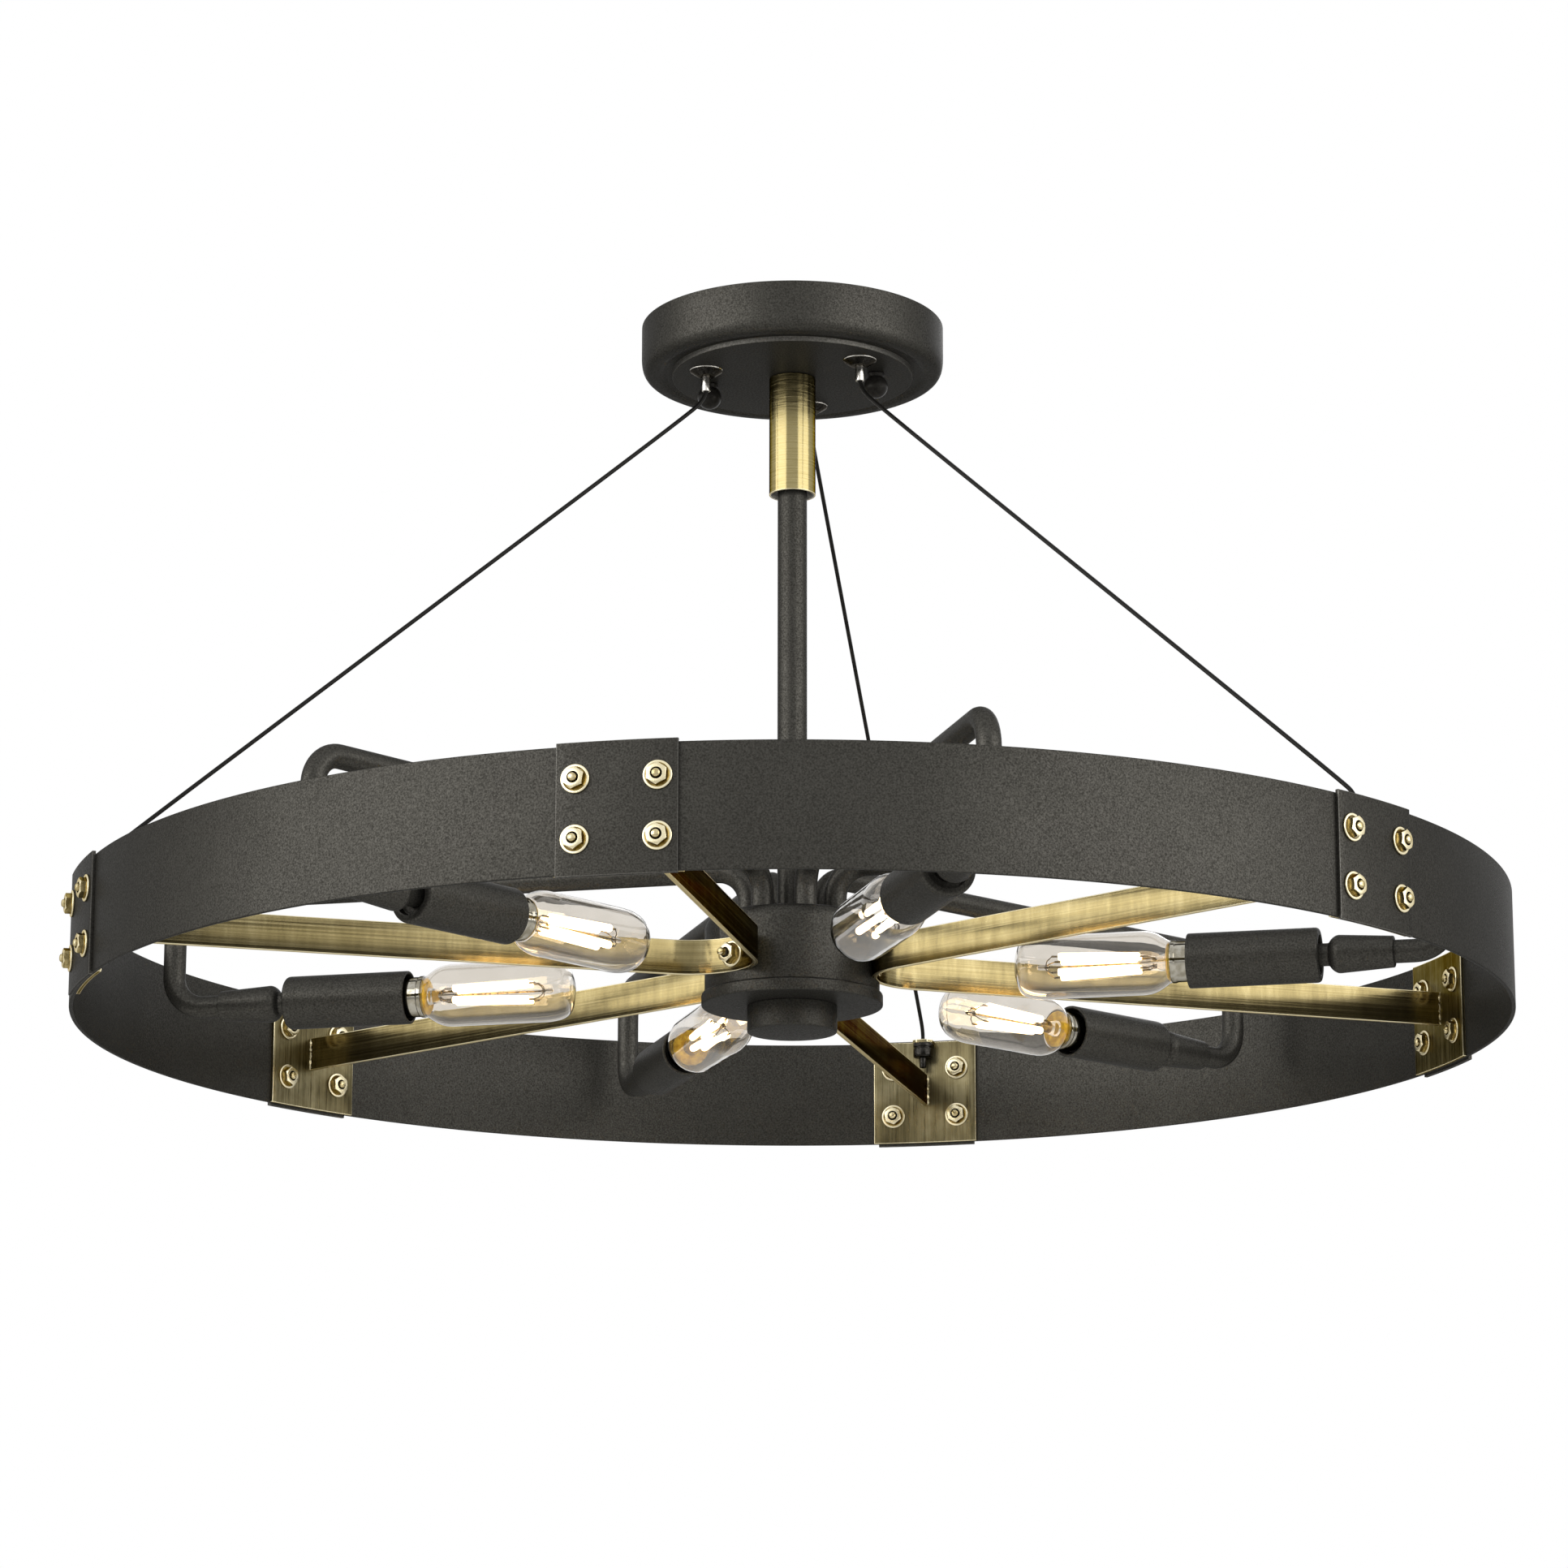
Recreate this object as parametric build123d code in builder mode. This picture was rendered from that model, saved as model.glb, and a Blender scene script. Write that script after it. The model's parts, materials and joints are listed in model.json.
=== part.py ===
from build123d import *
import math
import os

# A six-lamp semi-flush ceiling light. Millimetres and degrees. The origin is the centre of the
# ceiling plane, +Z points up, and the whole fixture hangs below it. Azimuths turn anticlockwise
# from +X as seen from above.

os.makedirs("parts", exist_ok=True)

# Levels below the ceiling plane
ring_level = -269.0
strap_level = ring_level + 1.0
hub_top_level = ring_level + 20.5
run_level = ring_level + 41.5
lamp_level = ring_level - 4.0

# Round pieces have flat sides, in steps that suit their size, and radii are to their corners.
# The ring's and its plates' radii are to their flats instead, where the plates meet.
ring_sides = 96
canopy_sides = 36
hub_sides = 36
finial_sides = 28
sleeve_sides = 24
stem_sides = 20
cover_sides = 14
glass_sides = 10
tube_sides = 10
thread_sides = 12
stud_sides = 8
holder_sides = 8
hex_sides = 6
shank_sides = 4
fit_gap = 0.1
running_gap = 0.1
drill_margin = 2.0

# Canopy, a pressed steel pan with a rounded shoulder and a small step round its middle
canopy_radius = 62.0
canopy_wall = 1.2
canopy_side_drop = 13.5
canopy_shoulder = 6.5
canopy_shoulder_in = 1.95
canopy_shoulder_down = 4.2
canopy_step_radius = 48.6
canopy_step = 1.3
canopy_bottom = -(canopy_side_drop + canopy_shoulder + canopy_step)

# Crossbar, its studs and the two ball nuts that hold the canopy up
crossbar_length = 106.0
crossbar_width = 16.0
crossbar_thickness = 2.0
slot_spacing = 88.9
slot_length = 10.0
slot_width = 4.6
stud_spacing = 70.0
stud_radius = 2.0
ball_radius = 4.9
ball_centre_drop = 5.6
ball_seat_radius = 3.5
ball_tip_radius = 1.5
ball_flat_angle = 60.0

# Stem, a steel pipe with threaded ends, and the brass sleeve over its top
stem_radius = 6.0
stem_bore_radius = 3.6
thread_radius = 4.8
stem_thread_above = 9.0
sleeve_radius = 9.5
sleeve_wall = 0.8
sleeve_length = 50.0
sleeve_end_thickness = 1.2
lock_nut_across = 16.0
lock_nut_height = 4.0

# Hub, its bottom cover and the finial cap
hub_radius = 35.0
hub_wall = 4.5
hub_top_thickness = 3.0
hub_height = 30.7
hub_edge = 5.0
hub_edge_middle = 1.5
hub_cover_radius = 36.3
hub_cover_height = 5.0
hub_cover_edge = 1.2
finial_radius = 18.0
finial_height = 10.6
finial_floor = 3.0
finial_edge = 0.6

# Ring, a rolled steel band, with an outer plate at each of its brackets
ring_radius = 286.0
ring_thickness = 1.6
ring_height = 46.0
bracket_count = 6
first_bracket_azimuth = -90.0
outer_plate_width = 44.0
outer_plate_height = 48.0
outer_plate_thickness = 1.5

# Bracket bolts: four through each bracket, with a nut at both ends
bolt_pitch_across = 29.4
bolt_pitch_up = 21.6
bolt_radius = 1.9
nut_radius = 4.0
nut_height = 4.6

# Straps: flat brass bars bent round the hub, with a plate welded to each end
strap_count = 3
strap_thickness = 2.0
strap_height = 14.0
strap_bend_radius = 26.0
strap_seat_depth = 2.0
end_plate_width = 47.0
end_plate_height = 46.0
end_plate_thickness = 1.5
weld_depth = 0.8
lug_width = 9.0
lug_length = 8.0
lug_thickness = 1.5
lug_hole_radius = 1.4
lug_hole_inset = 4.6
strap_bolt_stand = 7.5
strap_nut_gap = 0.4
hub_nut_gap = 1.0

# Cables, their grippers on the canopy and their stops at the ring
gripper_circle_radius = 37.0
gripper_flange_radius = 7.0
gripper_nose_radius = 3.6
gripper_flange_height = 2.6
gripper_barrel_radius = 4.2
gripper_barrel_height = 11.0
gripper_nut_radius = 7.2
gripper_nut_height = 2.5
nozzle_radius = 1.8
nozzle_bore_radius = 1.05
nozzle_showing = 6.5
nozzle_travel = 1.5
nozzle_lip = 1.6
nozzle_collar_radius = 2.8
nozzle_collar_height = 1.4
cable_radius = 0.88
cable_straight_below_nozzle = 4.0
cable_top_bend_radius = 10.0
cable_lug_bend_radius = 6.0
cable_above_lug = 5.0
stop_radius = 4.4
stop_length = 6.5
crimp_radius = 1.6
crimp_length = 5.0

# Arms: bent tube from the hub over the ring and back in below it, with a lamp cup at the end
lamp_count = 6
arm_root_radius = 17.7
arm_drop_radius = 262.0
arm_tube_radius = 4.6
arm_bend_radius = 13.0
arm_bend_steps = 3
arm_thread_radius = 3.6
arm_nut_radius = 6.6
arm_nut_height = 3.0
arm_thread_length = 8.0

# How far each arm stands off the radial line, as its nut was tightened, for lamps 1 to 6.
# Lamp 1 is at -120 degrees, and they go round anticlockwise.
arm_turns = (0.5, -2.5, -1.0, -5.0, -1.5, -1.5)
first_lamp_azimuth = -120.0

# Lamp, measured along its axis from the arm's outer drop towards the hub
cup_start = 21.0
cup_length = 25.5
cup_small_radius = 6.2
cup_large_radius = 7.6
cup_lip = 3.0
neck_radius = 4.5
neck_length = 3.5
cover_length = 52.0
cover_radius = 10.85
cover_wall = 1.25
cover_back_edge = 1.6
cover_back_wall = 3.5
cover_back_recess = 3.0
cover_back_recess_radius = 7.8
holder_length = 40.0
holder_gap = 0.4
bulb_base_radius = 5.9
bulb_base_length = 17.0
bulb_collar_radius = 8.3
bulb_collar_showing = 6.5
bulb_collar_inside = 4.5
bulb_collar_flare = 2.4
contact_radius = 2.4
contact_height = 1.6
glass_radius = 12.7
glass_length = 62.5
glass_shoulder = 8.0
glass_shoulder_corner = (3.6, 9.65)
glass_dome = 8.5
glass_dome_corners = ((3.8, 11.05), (1.0, 7.4))
glass_tip_radius = 3.2


def direction(azimuth):
    """Unit vector that points outward from the stem at this azimuth."""
    angle = math.radians(azimuth)
    return Vector(math.cos(angle), math.sin(angle), 0)


def outward_plane(azimuth, reach, level):
    """Upright plane that faces outward, with its local Y up."""
    out = direction(azimuth)
    return Plane(origin=out * reach + Vector(0, 0, level), x_dir=(-out.Y, out.X, 0), z_dir=out)


def turned(place, sides, stations):
    """Turned piece with flat sides, from (height, radius) stations along the plane's normal."""
    rings = []
    for height, radius in stations:
        spokes = [direction(360 * side / sides) * radius for side in range(sides)]
        rings.append([place.offset(height).from_local_coords(spoke) for spoke in spokes])
    faces = [Face(Wire.make_polygon(rings[0])), Face(Wire.make_polygon(rings[-1]))]
    for low, high in zip(rings, rings[1:]):
        for side in range(sides):
            after = (side + 1) % sides
            faces.append(Face(Wire.make_polygon([low[side], low[after], high[after], high[side]])))
    return Solid(Shell(faces))


def clear_of(radius, sides):
    """Corner radius of a hole in which a bar of this radius can turn."""
    return (radius + running_gap) / math.cos(math.pi / sides)


def bent_route(corners, radius, steps):
    """Corner points of a tube's route, with each sharp corner spread over a few small ones."""
    route = [Vector(corners[0])]
    for before, corner, after in zip(corners, corners[1:], corners[2:]):
        corner = Vector(corner)
        back = (Vector(before) - corner).normalized()
        ahead = (Vector(after) - corner).normalized()
        turn = math.radians(180 - back.get_angle(ahead))
        centre = corner + (back + ahead).normalized() * (radius / math.cos(turn / 2))
        start = (corner + back * radius * math.tan(turn / 2) - centre).normalized()
        reach = radius / math.cos(turn / steps / 2)
        for step in range(steps):
            angle = turn * (step + 0.5) / steps
            route.append(centre + (start * math.cos(angle) - back * math.sin(angle)) * reach)
    route.append(Vector(corners[-1]))
    return route


def bent_tube(route, across, sides, radius):
    """Tube with flat sides along the route's points."""
    with BuildPart() as tube:
        with BuildLine():
            Polyline(*route)
        with BuildSketch(Plane(origin=route[0], x_dir=across, z_dir=route[1] - route[0])):
            RegularPolygon(radius, sides)
        sweep(transition=Transition.RIGHT)
    return tube.part


def save(builder, name):
    """Label the piece and write it to its own file."""
    builder.part.label = name
    export_step(builder.part, f"parts/{name}.step")


# Places that several pieces share
canopy_inside = canopy_bottom + canopy_wall
bracket_azimuths = [first_bracket_azimuth + n * 360 / bracket_count for n in range(bracket_count)]
strap_azimuths = [-120.0 + n * 360 / strap_count for n in range(strap_count)]
strap_half_angle = 180 / bracket_count
cable_azimuths = [azimuth - strap_half_angle for azimuth in strap_azimuths]
hub_body_bottom = hub_top_level - hub_height
hub_cover_bottom = hub_body_bottom - hub_cover_height
hub_inner_top = hub_top_level - hub_top_thickness
finial_bottom = hub_cover_bottom - finial_height
band_inner_radius = ring_radius - ring_thickness
plate_inner_radius = band_inner_radius - end_plate_thickness
plate_outer_radius = ring_radius + outer_plate_thickness
strap_seat_radius = hub_radius - strap_seat_depth
strap_apex_radius = strap_seat_radius + strap_thickness / 2
bend_centre = strap_apex_radius + strap_bend_radius
cable_lug_radius = plate_inner_radius - lug_hole_inset
lug_top = ring_level + end_plate_height / 2
lug_bottom = lug_top - lug_thickness


def hex_nut(place, radius, height, bore, bore_sides):
    """Plain hexagon nut that stands on the plane."""
    with BuildPart() as nut:
        with BuildSketch(place):
            RegularPolygon(radius, hex_sides)
            RegularPolygon(bore, bore_sides, mode=Mode.SUBTRACT)
        extrude(amount=height)
    return nut.part


# Crossbar: a flat steel bar with two slots for the outlet box and two tapped holes for the studs
with BuildPart() as crossbar:
    with BuildSketch(Plane.XY):
        Rectangle(crossbar_length, crossbar_width)
        with GridLocations(slot_spacing, 0, 2, 1):
            SlotOverall(slot_length, slot_width, mode=Mode.SUBTRACT)
        with GridLocations(stud_spacing, 0, 2, 1):
            RegularPolygon(stud_radius + fit_gap, stud_sides, mode=Mode.SUBTRACT)
    extrude(amount=-crossbar_thickness)
save(crossbar, "crossbar")

# Canopy studs: screwed down through the crossbar and into the ball nuts
ball_level = canopy_bottom - ball_centre_drop
with BuildPart() as canopy_studs:
    with BuildSketch(Plane.XY):
        with GridLocations(stud_spacing, 0, 2, 1):
            RegularPolygon(stud_radius, stud_sides)
    extrude(amount=ball_level)
save(canopy_studs, "canopy_studs")


def canopy_form(inset):
    """The pan's outer form, or its hollow where there is an inset for the wall."""
    step_level = canopy_bottom + canopy_step + inset
    with BuildPart() as form:
        add(turned(Plane.XY, canopy_sides, [
            (step_level, canopy_radius - canopy_shoulder - inset),
            (-canopy_side_drop - canopy_shoulder_down + inset / 2, canopy_radius - canopy_shoulder_in - inset),
            (-canopy_side_drop, canopy_radius - inset),
            (0, canopy_radius - inset),
        ]))
        add(turned(Plane.XY, canopy_sides, [
            (canopy_bottom + inset, canopy_step_radius - inset),
            (step_level, canopy_step_radius + canopy_step - inset),
        ]))
    return form.part


# Canopy: a turned pan, open above, pierced for the stem, the cable grippers and the studs
with BuildPart() as canopy:
    add(canopy_form(0))
    add(canopy_form(canopy_wall), mode=Mode.SUBTRACT)
    with BuildSketch(Plane.XY.offset(canopy_bottom)):
        RegularPolygon(thread_radius + fit_gap, thread_sides)
        with GridLocations(stud_spacing, 0, 2, 1):
            RegularPolygon(stud_radius + fit_gap, stud_sides)
        for azimuth in cable_azimuths:
            with Locations(direction(azimuth) * gripper_circle_radius):
                RegularPolygon(gripper_barrel_radius + fit_gap, tube_sides)
    extrude(amount=2 * canopy_wall, mode=Mode.SUBTRACT)
save(canopy, "canopy")

# Ball nuts: a ball with a short seat against the canopy and a blind tapped hole for its stud
ball_ring = ball_radius * math.sin(math.radians(ball_flat_angle))
ball_rise = ball_radius * math.cos(math.radians(ball_flat_angle))
for side, name in ((-1, "ball_nut_left"), (1, "ball_nut_right")):
    ball_place = Plane(origin=(side * stud_spacing / 2, 0, ball_level), z_dir=(0, 0, -1))
    with BuildPart() as ball_nut:
        add(turned(ball_place, tube_sides, [
            (-ball_centre_drop, ball_seat_radius),
            (-ball_rise, ball_ring),
            (0, ball_radius),
            (ball_rise, ball_ring),
            (ball_radius, ball_tip_radius),
        ]))
        with BuildSketch(ball_place.offset(-ball_centre_drop)):
            RegularPolygon(clear_of(stud_radius, stud_sides), stud_sides)
        extrude(amount=ball_centre_drop + fit_gap, mode=Mode.SUBTRACT)
    save(ball_nut, name)

# Sleeve: a brass tube with a closed top end, held between the stem's shoulder and the canopy
sleeve_bottom = canopy_bottom - sleeve_length
with BuildPart() as sleeve:
    with BuildSketch(Plane.XY.offset(canopy_bottom)):
        RegularPolygon(sleeve_radius, sleeve_sides)
    extrude(amount=-sleeve_length)
    with BuildSketch(Plane.XY.offset(sleeve_bottom)):
        RegularPolygon(sleeve_radius - sleeve_wall, sleeve_sides)
    extrude(amount=sleeve_length - sleeve_end_thickness, mode=Mode.SUBTRACT)
    with BuildSketch(Plane.XY.offset(canopy_bottom)):
        RegularPolygon(thread_radius + fit_gap, thread_sides)
    extrude(amount=-sleeve_end_thickness, mode=Mode.SUBTRACT)
save(sleeve, "sleeve")

# Stem: the pipe, a short thread up through the canopy and a long one down through the hub
stem_shoulder = canopy_bottom - sleeve_end_thickness
stem_top = canopy_inside + stem_thread_above
stem_thread_bottom = finial_bottom + finial_floor + fit_gap
with BuildPart() as stem:
    with BuildSketch(Plane.XY.offset(stem_thread_bottom)):
        RegularPolygon(thread_radius, thread_sides)
    extrude(amount=stem_top - stem_thread_bottom)
    with BuildSketch(Plane.XY.offset(hub_top_level)):
        RegularPolygon(stem_radius, stem_sides)
    extrude(amount=stem_shoulder - hub_top_level)
    with BuildSketch(Plane.XY.offset(stem_thread_bottom)):
        RegularPolygon(stem_bore_radius, stud_sides)
    extrude(amount=stem_top - stem_thread_bottom, mode=Mode.SUBTRACT)
save(stem, "stem")

# Stem lock nuts: one on the canopy's floor and one under the hub's top
lock_nut_radius = lock_nut_across / math.sqrt(3)
with BuildPart() as stem_nuts:
    for level in (canopy_inside, hub_inner_top - lock_nut_height):
        add(hex_nut(Plane.XY.offset(level), lock_nut_radius, lock_nut_height,
                    thread_radius + fit_gap, thread_sides))
save(stem_nuts, "stem_nuts")

# Hub body: a deep cup, open below, with its rim broken in two flats, a round seat for each strap
# and holes for the stem, the arms and the strap bolts
lamp_azimuths = [first_lamp_azimuth + n * 360 / lamp_count for n in range(lamp_count)]
with BuildPart() as hub_body:
    add(turned(Plane.XY, hub_sides, [
        (hub_body_bottom, hub_radius),
        (hub_top_level - hub_edge, hub_radius),
        (hub_top_level - hub_edge_middle, hub_radius - hub_edge_middle),
        (hub_top_level, hub_radius - hub_edge),
    ]))
    with BuildSketch(Plane.XY.offset(hub_body_bottom)):
        RegularPolygon(hub_radius - hub_wall, hub_sides)
    extrude(amount=hub_height - hub_top_thickness, mode=Mode.SUBTRACT)
    seat_bottom = strap_level - strap_height / 2 - fit_gap
    with BuildSketch(Plane.XY.offset(seat_bottom)):
        for azimuth in strap_azimuths:
            with Locations(direction(azimuth) * bend_centre):
                Circle(strap_bend_radius + strap_thickness / 2)
    extrude(amount=hub_top_level - seat_bottom, mode=Mode.SUBTRACT)
    with BuildSketch(Plane.XY.offset(hub_top_level)):
        RegularPolygon(thread_radius + fit_gap, thread_sides)
        for azimuth in lamp_azimuths:
            with Locations(direction(azimuth) * arm_root_radius):
                RegularPolygon(arm_thread_radius + fit_gap, hex_sides)
    extrude(amount=-hub_top_thickness, mode=Mode.SUBTRACT)
    for azimuth in strap_azimuths:
        with BuildSketch(outward_plane(azimuth, hub_radius - hub_wall - drill_margin, strap_level)):
            RegularPolygon(bolt_radius + fit_gap, shank_sides, rotation=45)
        extrude(amount=hub_wall + drill_margin, mode=Mode.SUBTRACT)
save(hub_body, "hub_body")

# Hub cover: the flanged disc that closes the hub
with BuildPart() as hub_cover:
    add(turned(Plane.XY, hub_sides, [
        (hub_cover_bottom, hub_cover_radius),
        (hub_body_bottom - hub_cover_edge, hub_cover_radius),
        (hub_body_bottom, hub_cover_radius - hub_cover_edge),
    ]))
    with BuildSketch(Plane.XY.offset(hub_cover_bottom)):
        RegularPolygon(thread_radius + fit_gap, thread_sides)
    extrude(amount=hub_cover_height, mode=Mode.SUBTRACT)
save(hub_cover, "hub_cover")

# Finial cap: screwed on the end of the stem's long thread, it holds the cover
with BuildPart() as finial_cap:
    add(turned(Plane.XY, finial_sides, [
        (finial_bottom, finial_radius - finial_edge),
        (finial_bottom + finial_edge, finial_radius),
        (hub_cover_bottom, finial_radius),
    ]))
    with BuildSketch(Plane.XY.offset(hub_cover_bottom)):
        RegularPolygon(clear_of(thread_radius, thread_sides), thread_sides)
    extrude(amount=finial_floor - finial_height, mode=Mode.SUBTRACT)
save(finial_cap, "finial_cap")

# Ring band: one hoop, pierced for the bracket bolts
bolt_swing = math.degrees(bolt_pitch_across / 2 / ring_radius)
bolt_places = [
    outward_plane(azimuth + swing, 0, ring_level + rise)
    for azimuth in bracket_azimuths
    for swing in (-bolt_swing, bolt_swing)
    for rise in (-bolt_pitch_up / 2, bolt_pitch_up / 2)
]


def bolt_holes(inner, outer, places):
    """Square bars that stand in for the bracket bolts' holes, from one radius to the other."""
    with BuildPart() as drills:
        for place in places:
            with BuildSketch(place.offset(inner)):
                RegularPolygon(bolt_radius + fit_gap, shank_sides, rotation=45)
            extrude(amount=outer - inner)
    return drills.part


def hoop(inner, outer, height):
    """Hoop about the stem at the ring's level, with a flat side at the middle of each bracket."""
    with BuildPart() as band:
        with BuildSketch(Plane.XY.offset(ring_level - height / 2)):
            RegularPolygon(outer, ring_sides, major_radius=False, rotation=180 / ring_sides)
            RegularPolygon(inner, ring_sides, major_radius=False, rotation=180 / ring_sides,
                           mode=Mode.SUBTRACT)
        extrude(amount=height)
    return band.part


def curved_plate(azimuth, inner, outer, width, height):
    """Plate that follows the ring's curve, centred at this azimuth."""
    with BuildPart() as plate:
        add(hoop(inner, outer, height))
        with BuildSketch(outward_plane(azimuth, 0, ring_level)):
            Rectangle(width, 2 * height)
        extrude(amount=2 * outer, mode=Mode.INTERSECT)
    return plate.part


with BuildPart() as ring_band:
    add(hoop(band_inner_radius, ring_radius, ring_height))
    add(bolt_holes(band_inner_radius - drill_margin, ring_radius + drill_margin, bolt_places), mode=Mode.SUBTRACT)
save(ring_band, "ring_band")

# Outer plates: one over the band at each bracket
with BuildPart() as outer_plates:
    for azimuth in bracket_azimuths:
        add(curved_plate(azimuth, ring_radius, plate_outer_radius, outer_plate_width, outer_plate_height))
    add(bolt_holes(ring_radius - drill_margin, plate_outer_radius + drill_margin, bolt_places), mode=Mode.SUBTRACT)
save(outer_plates, "outer_plates")

# Bracket bolts: a stud with a nut on the outer plate and a nut on the inner plate
with BuildPart() as bracket_bolts:
    for place in bolt_places:
        inner_seat = plate_inner_radius - fit_gap
        outer_seat = plate_outer_radius + fit_gap
        with BuildSketch(place.offset(inner_seat - nut_height)):
            RegularPolygon(nut_radius, hex_sides)
        extrude(amount=nut_height)
        with BuildSketch(place.offset(inner_seat)):
            RegularPolygon(bolt_radius, shank_sides, rotation=45)
        extrude(amount=outer_seat - inner_seat)
        with BuildSketch(place.offset(outer_seat)):
            RegularPolygon(nut_radius, hex_sides)
        extrude(amount=nut_height)
save(bracket_bolts, "bracket_bolts")


def strap(azimuth):
    """One brass strap, bent round its hub seat, with its two end plates and its cable lug."""
    out = direction(azimuth)
    centre = out * bend_centre
    apex = out * strap_apex_radius
    with BuildPart() as weldment:
        with BuildSketch(Plane.XY.offset(strap_level - strap_height / 2)):
            with BuildLine():
                tangents = []
                ends = []
                for side in (-1, 1):
                    end = direction(azimuth + side * strap_half_angle) * (plate_inner_radius + weld_depth)
                    span = end - centre
                    heading = math.degrees(math.atan2(span.Y, span.X))
                    opening = math.degrees(math.acos(strap_bend_radius / span.length))
                    tangents.append(centre + direction(heading + side * opening) * strap_bend_radius)
                    ends.append(end)
                Line(ends[0], tangents[0])
                ThreePointArc(tangents[0], apex, tangents[1])
                Line(tangents[1], ends[1])
            trace(line_width=strap_thickness)
        extrude(amount=strap_height)
        for side in (-1, 1):
            add(curved_plate(azimuth + side * strap_half_angle, plate_inner_radius, band_inner_radius,
                             end_plate_width, end_plate_height))
        with BuildSketch(outward_plane(azimuth - strap_half_angle, plate_inner_radius + weld_depth,
                                       (lug_top + lug_bottom) / 2)):
            Rectangle(lug_width, lug_thickness)
        extrude(amount=-lug_length - weld_depth)
        with BuildSketch(Plane.XY.offset(lug_top)):
            with Locations(direction(azimuth - strap_half_angle) * cable_lug_radius):
                RegularPolygon(lug_hole_radius, stud_sides)
        extrude(amount=-lug_thickness, mode=Mode.SUBTRACT)
        near = [place for place in bolt_places if place.z_dir.get_angle(out) < 2 * strap_half_angle]
        add(bolt_holes(plate_inner_radius - drill_margin, band_inner_radius + drill_margin, near),
            mode=Mode.SUBTRACT)
        with BuildSketch(outward_plane(azimuth, strap_seat_radius - drill_margin, strap_level)):
            RegularPolygon(bolt_radius + fit_gap, shank_sides, rotation=45)
        extrude(amount=strap_thickness + 2 * drill_margin, mode=Mode.SUBTRACT)
    return weldment


for number, azimuth in enumerate(strap_azimuths, 1):
    save(strap(azimuth), f"strap_{number}")

# Strap bolts: one through the middle of each strap, with a nut on it and a nut inside the hub
with BuildPart() as strap_bolts:
    for azimuth in strap_azimuths:
        inside = hub_radius - hub_wall - hub_nut_gap
        outside = strap_seat_radius + strap_thickness + strap_nut_gap
        with BuildSketch(outward_plane(azimuth, inside - nut_height, strap_level)):
            RegularPolygon(nut_radius, hex_sides)
        extrude(amount=nut_height)
        with BuildSketch(outward_plane(azimuth, inside, strap_level)):
            RegularPolygon(bolt_radius, shank_sides, rotation=45)
        extrude(amount=outside - inside + strap_bolt_stand)
        with BuildSketch(outward_plane(azimuth, outside, strap_level)):
            RegularPolygon(nut_radius, hex_sides)
        extrude(amount=nut_height)
save(strap_bolts, "strap_bolts")

# Cable grippers: a threaded barrel through the canopy with a coned flange under it
barrel_top = canopy_bottom + gripper_barrel_height
gripper_nose = canopy_bottom - gripper_flange_height
nozzle_collar_level = gripper_nose + nozzle_lip
gripper_places = [Plane.XY.shift_origin(direction(azimuth) * gripper_circle_radius) for azimuth in cable_azimuths]
with BuildPart() as cable_grippers:
    for place in gripper_places:
        add(turned(place, tube_sides, [
            (gripper_nose, gripper_nose_radius),
            (canopy_bottom, gripper_flange_radius),
        ]))
        with BuildSketch(place.offset(canopy_bottom)):
            RegularPolygon(gripper_barrel_radius, tube_sides)
        extrude(amount=gripper_barrel_height)
        with BuildSketch(place.offset(gripper_nose)):
            RegularPolygon(nozzle_radius + fit_gap, hex_sides)
        extrude(amount=nozzle_lip, mode=Mode.SUBTRACT)
        with BuildSketch(place.offset(nozzle_collar_level)):
            RegularPolygon(nozzle_collar_radius + fit_gap, hex_sides)
        extrude(amount=nozzle_collar_height + nozzle_travel + fit_gap, mode=Mode.SUBTRACT)
        with BuildSketch(place.offset(nozzle_collar_level)):
            RegularPolygon(nozzle_bore_radius, hex_sides)
        extrude(amount=barrel_top - nozzle_collar_level, mode=Mode.SUBTRACT)
save(cable_grippers, "cable_grippers")

# Gripper nuts: they hold the grippers on the canopy's floor
with BuildPart() as gripper_nuts:
    for place in gripper_places:
        add(hex_nut(place.offset(canopy_inside), gripper_nut_radius, gripper_nut_height,
                    gripper_barrel_radius + fit_gap, tube_sides))
save(gripper_nuts, "gripper_nuts")

# Gripper release nozzles: pushed up, each lets its cable slip
for number, place in enumerate(gripper_places, 1):
    with BuildPart() as gripper_release:
        with BuildSketch(place.offset(gripper_nose - nozzle_showing)):
            RegularPolygon(nozzle_radius, hex_sides)
        extrude(amount=nozzle_showing + nozzle_lip)
        with BuildSketch(place.offset(nozzle_collar_level)):
            RegularPolygon(nozzle_collar_radius, hex_sides)
        extrude(amount=nozzle_collar_height)
        with BuildSketch(place.offset(gripper_nose - nozzle_showing)):
            RegularPolygon(nozzle_bore_radius, hex_sides)
        extrude(amount=nozzle_showing + nozzle_lip + nozzle_collar_height, mode=Mode.SUBTRACT)
    save(gripper_release, f"gripper_release_{number}")

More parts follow.
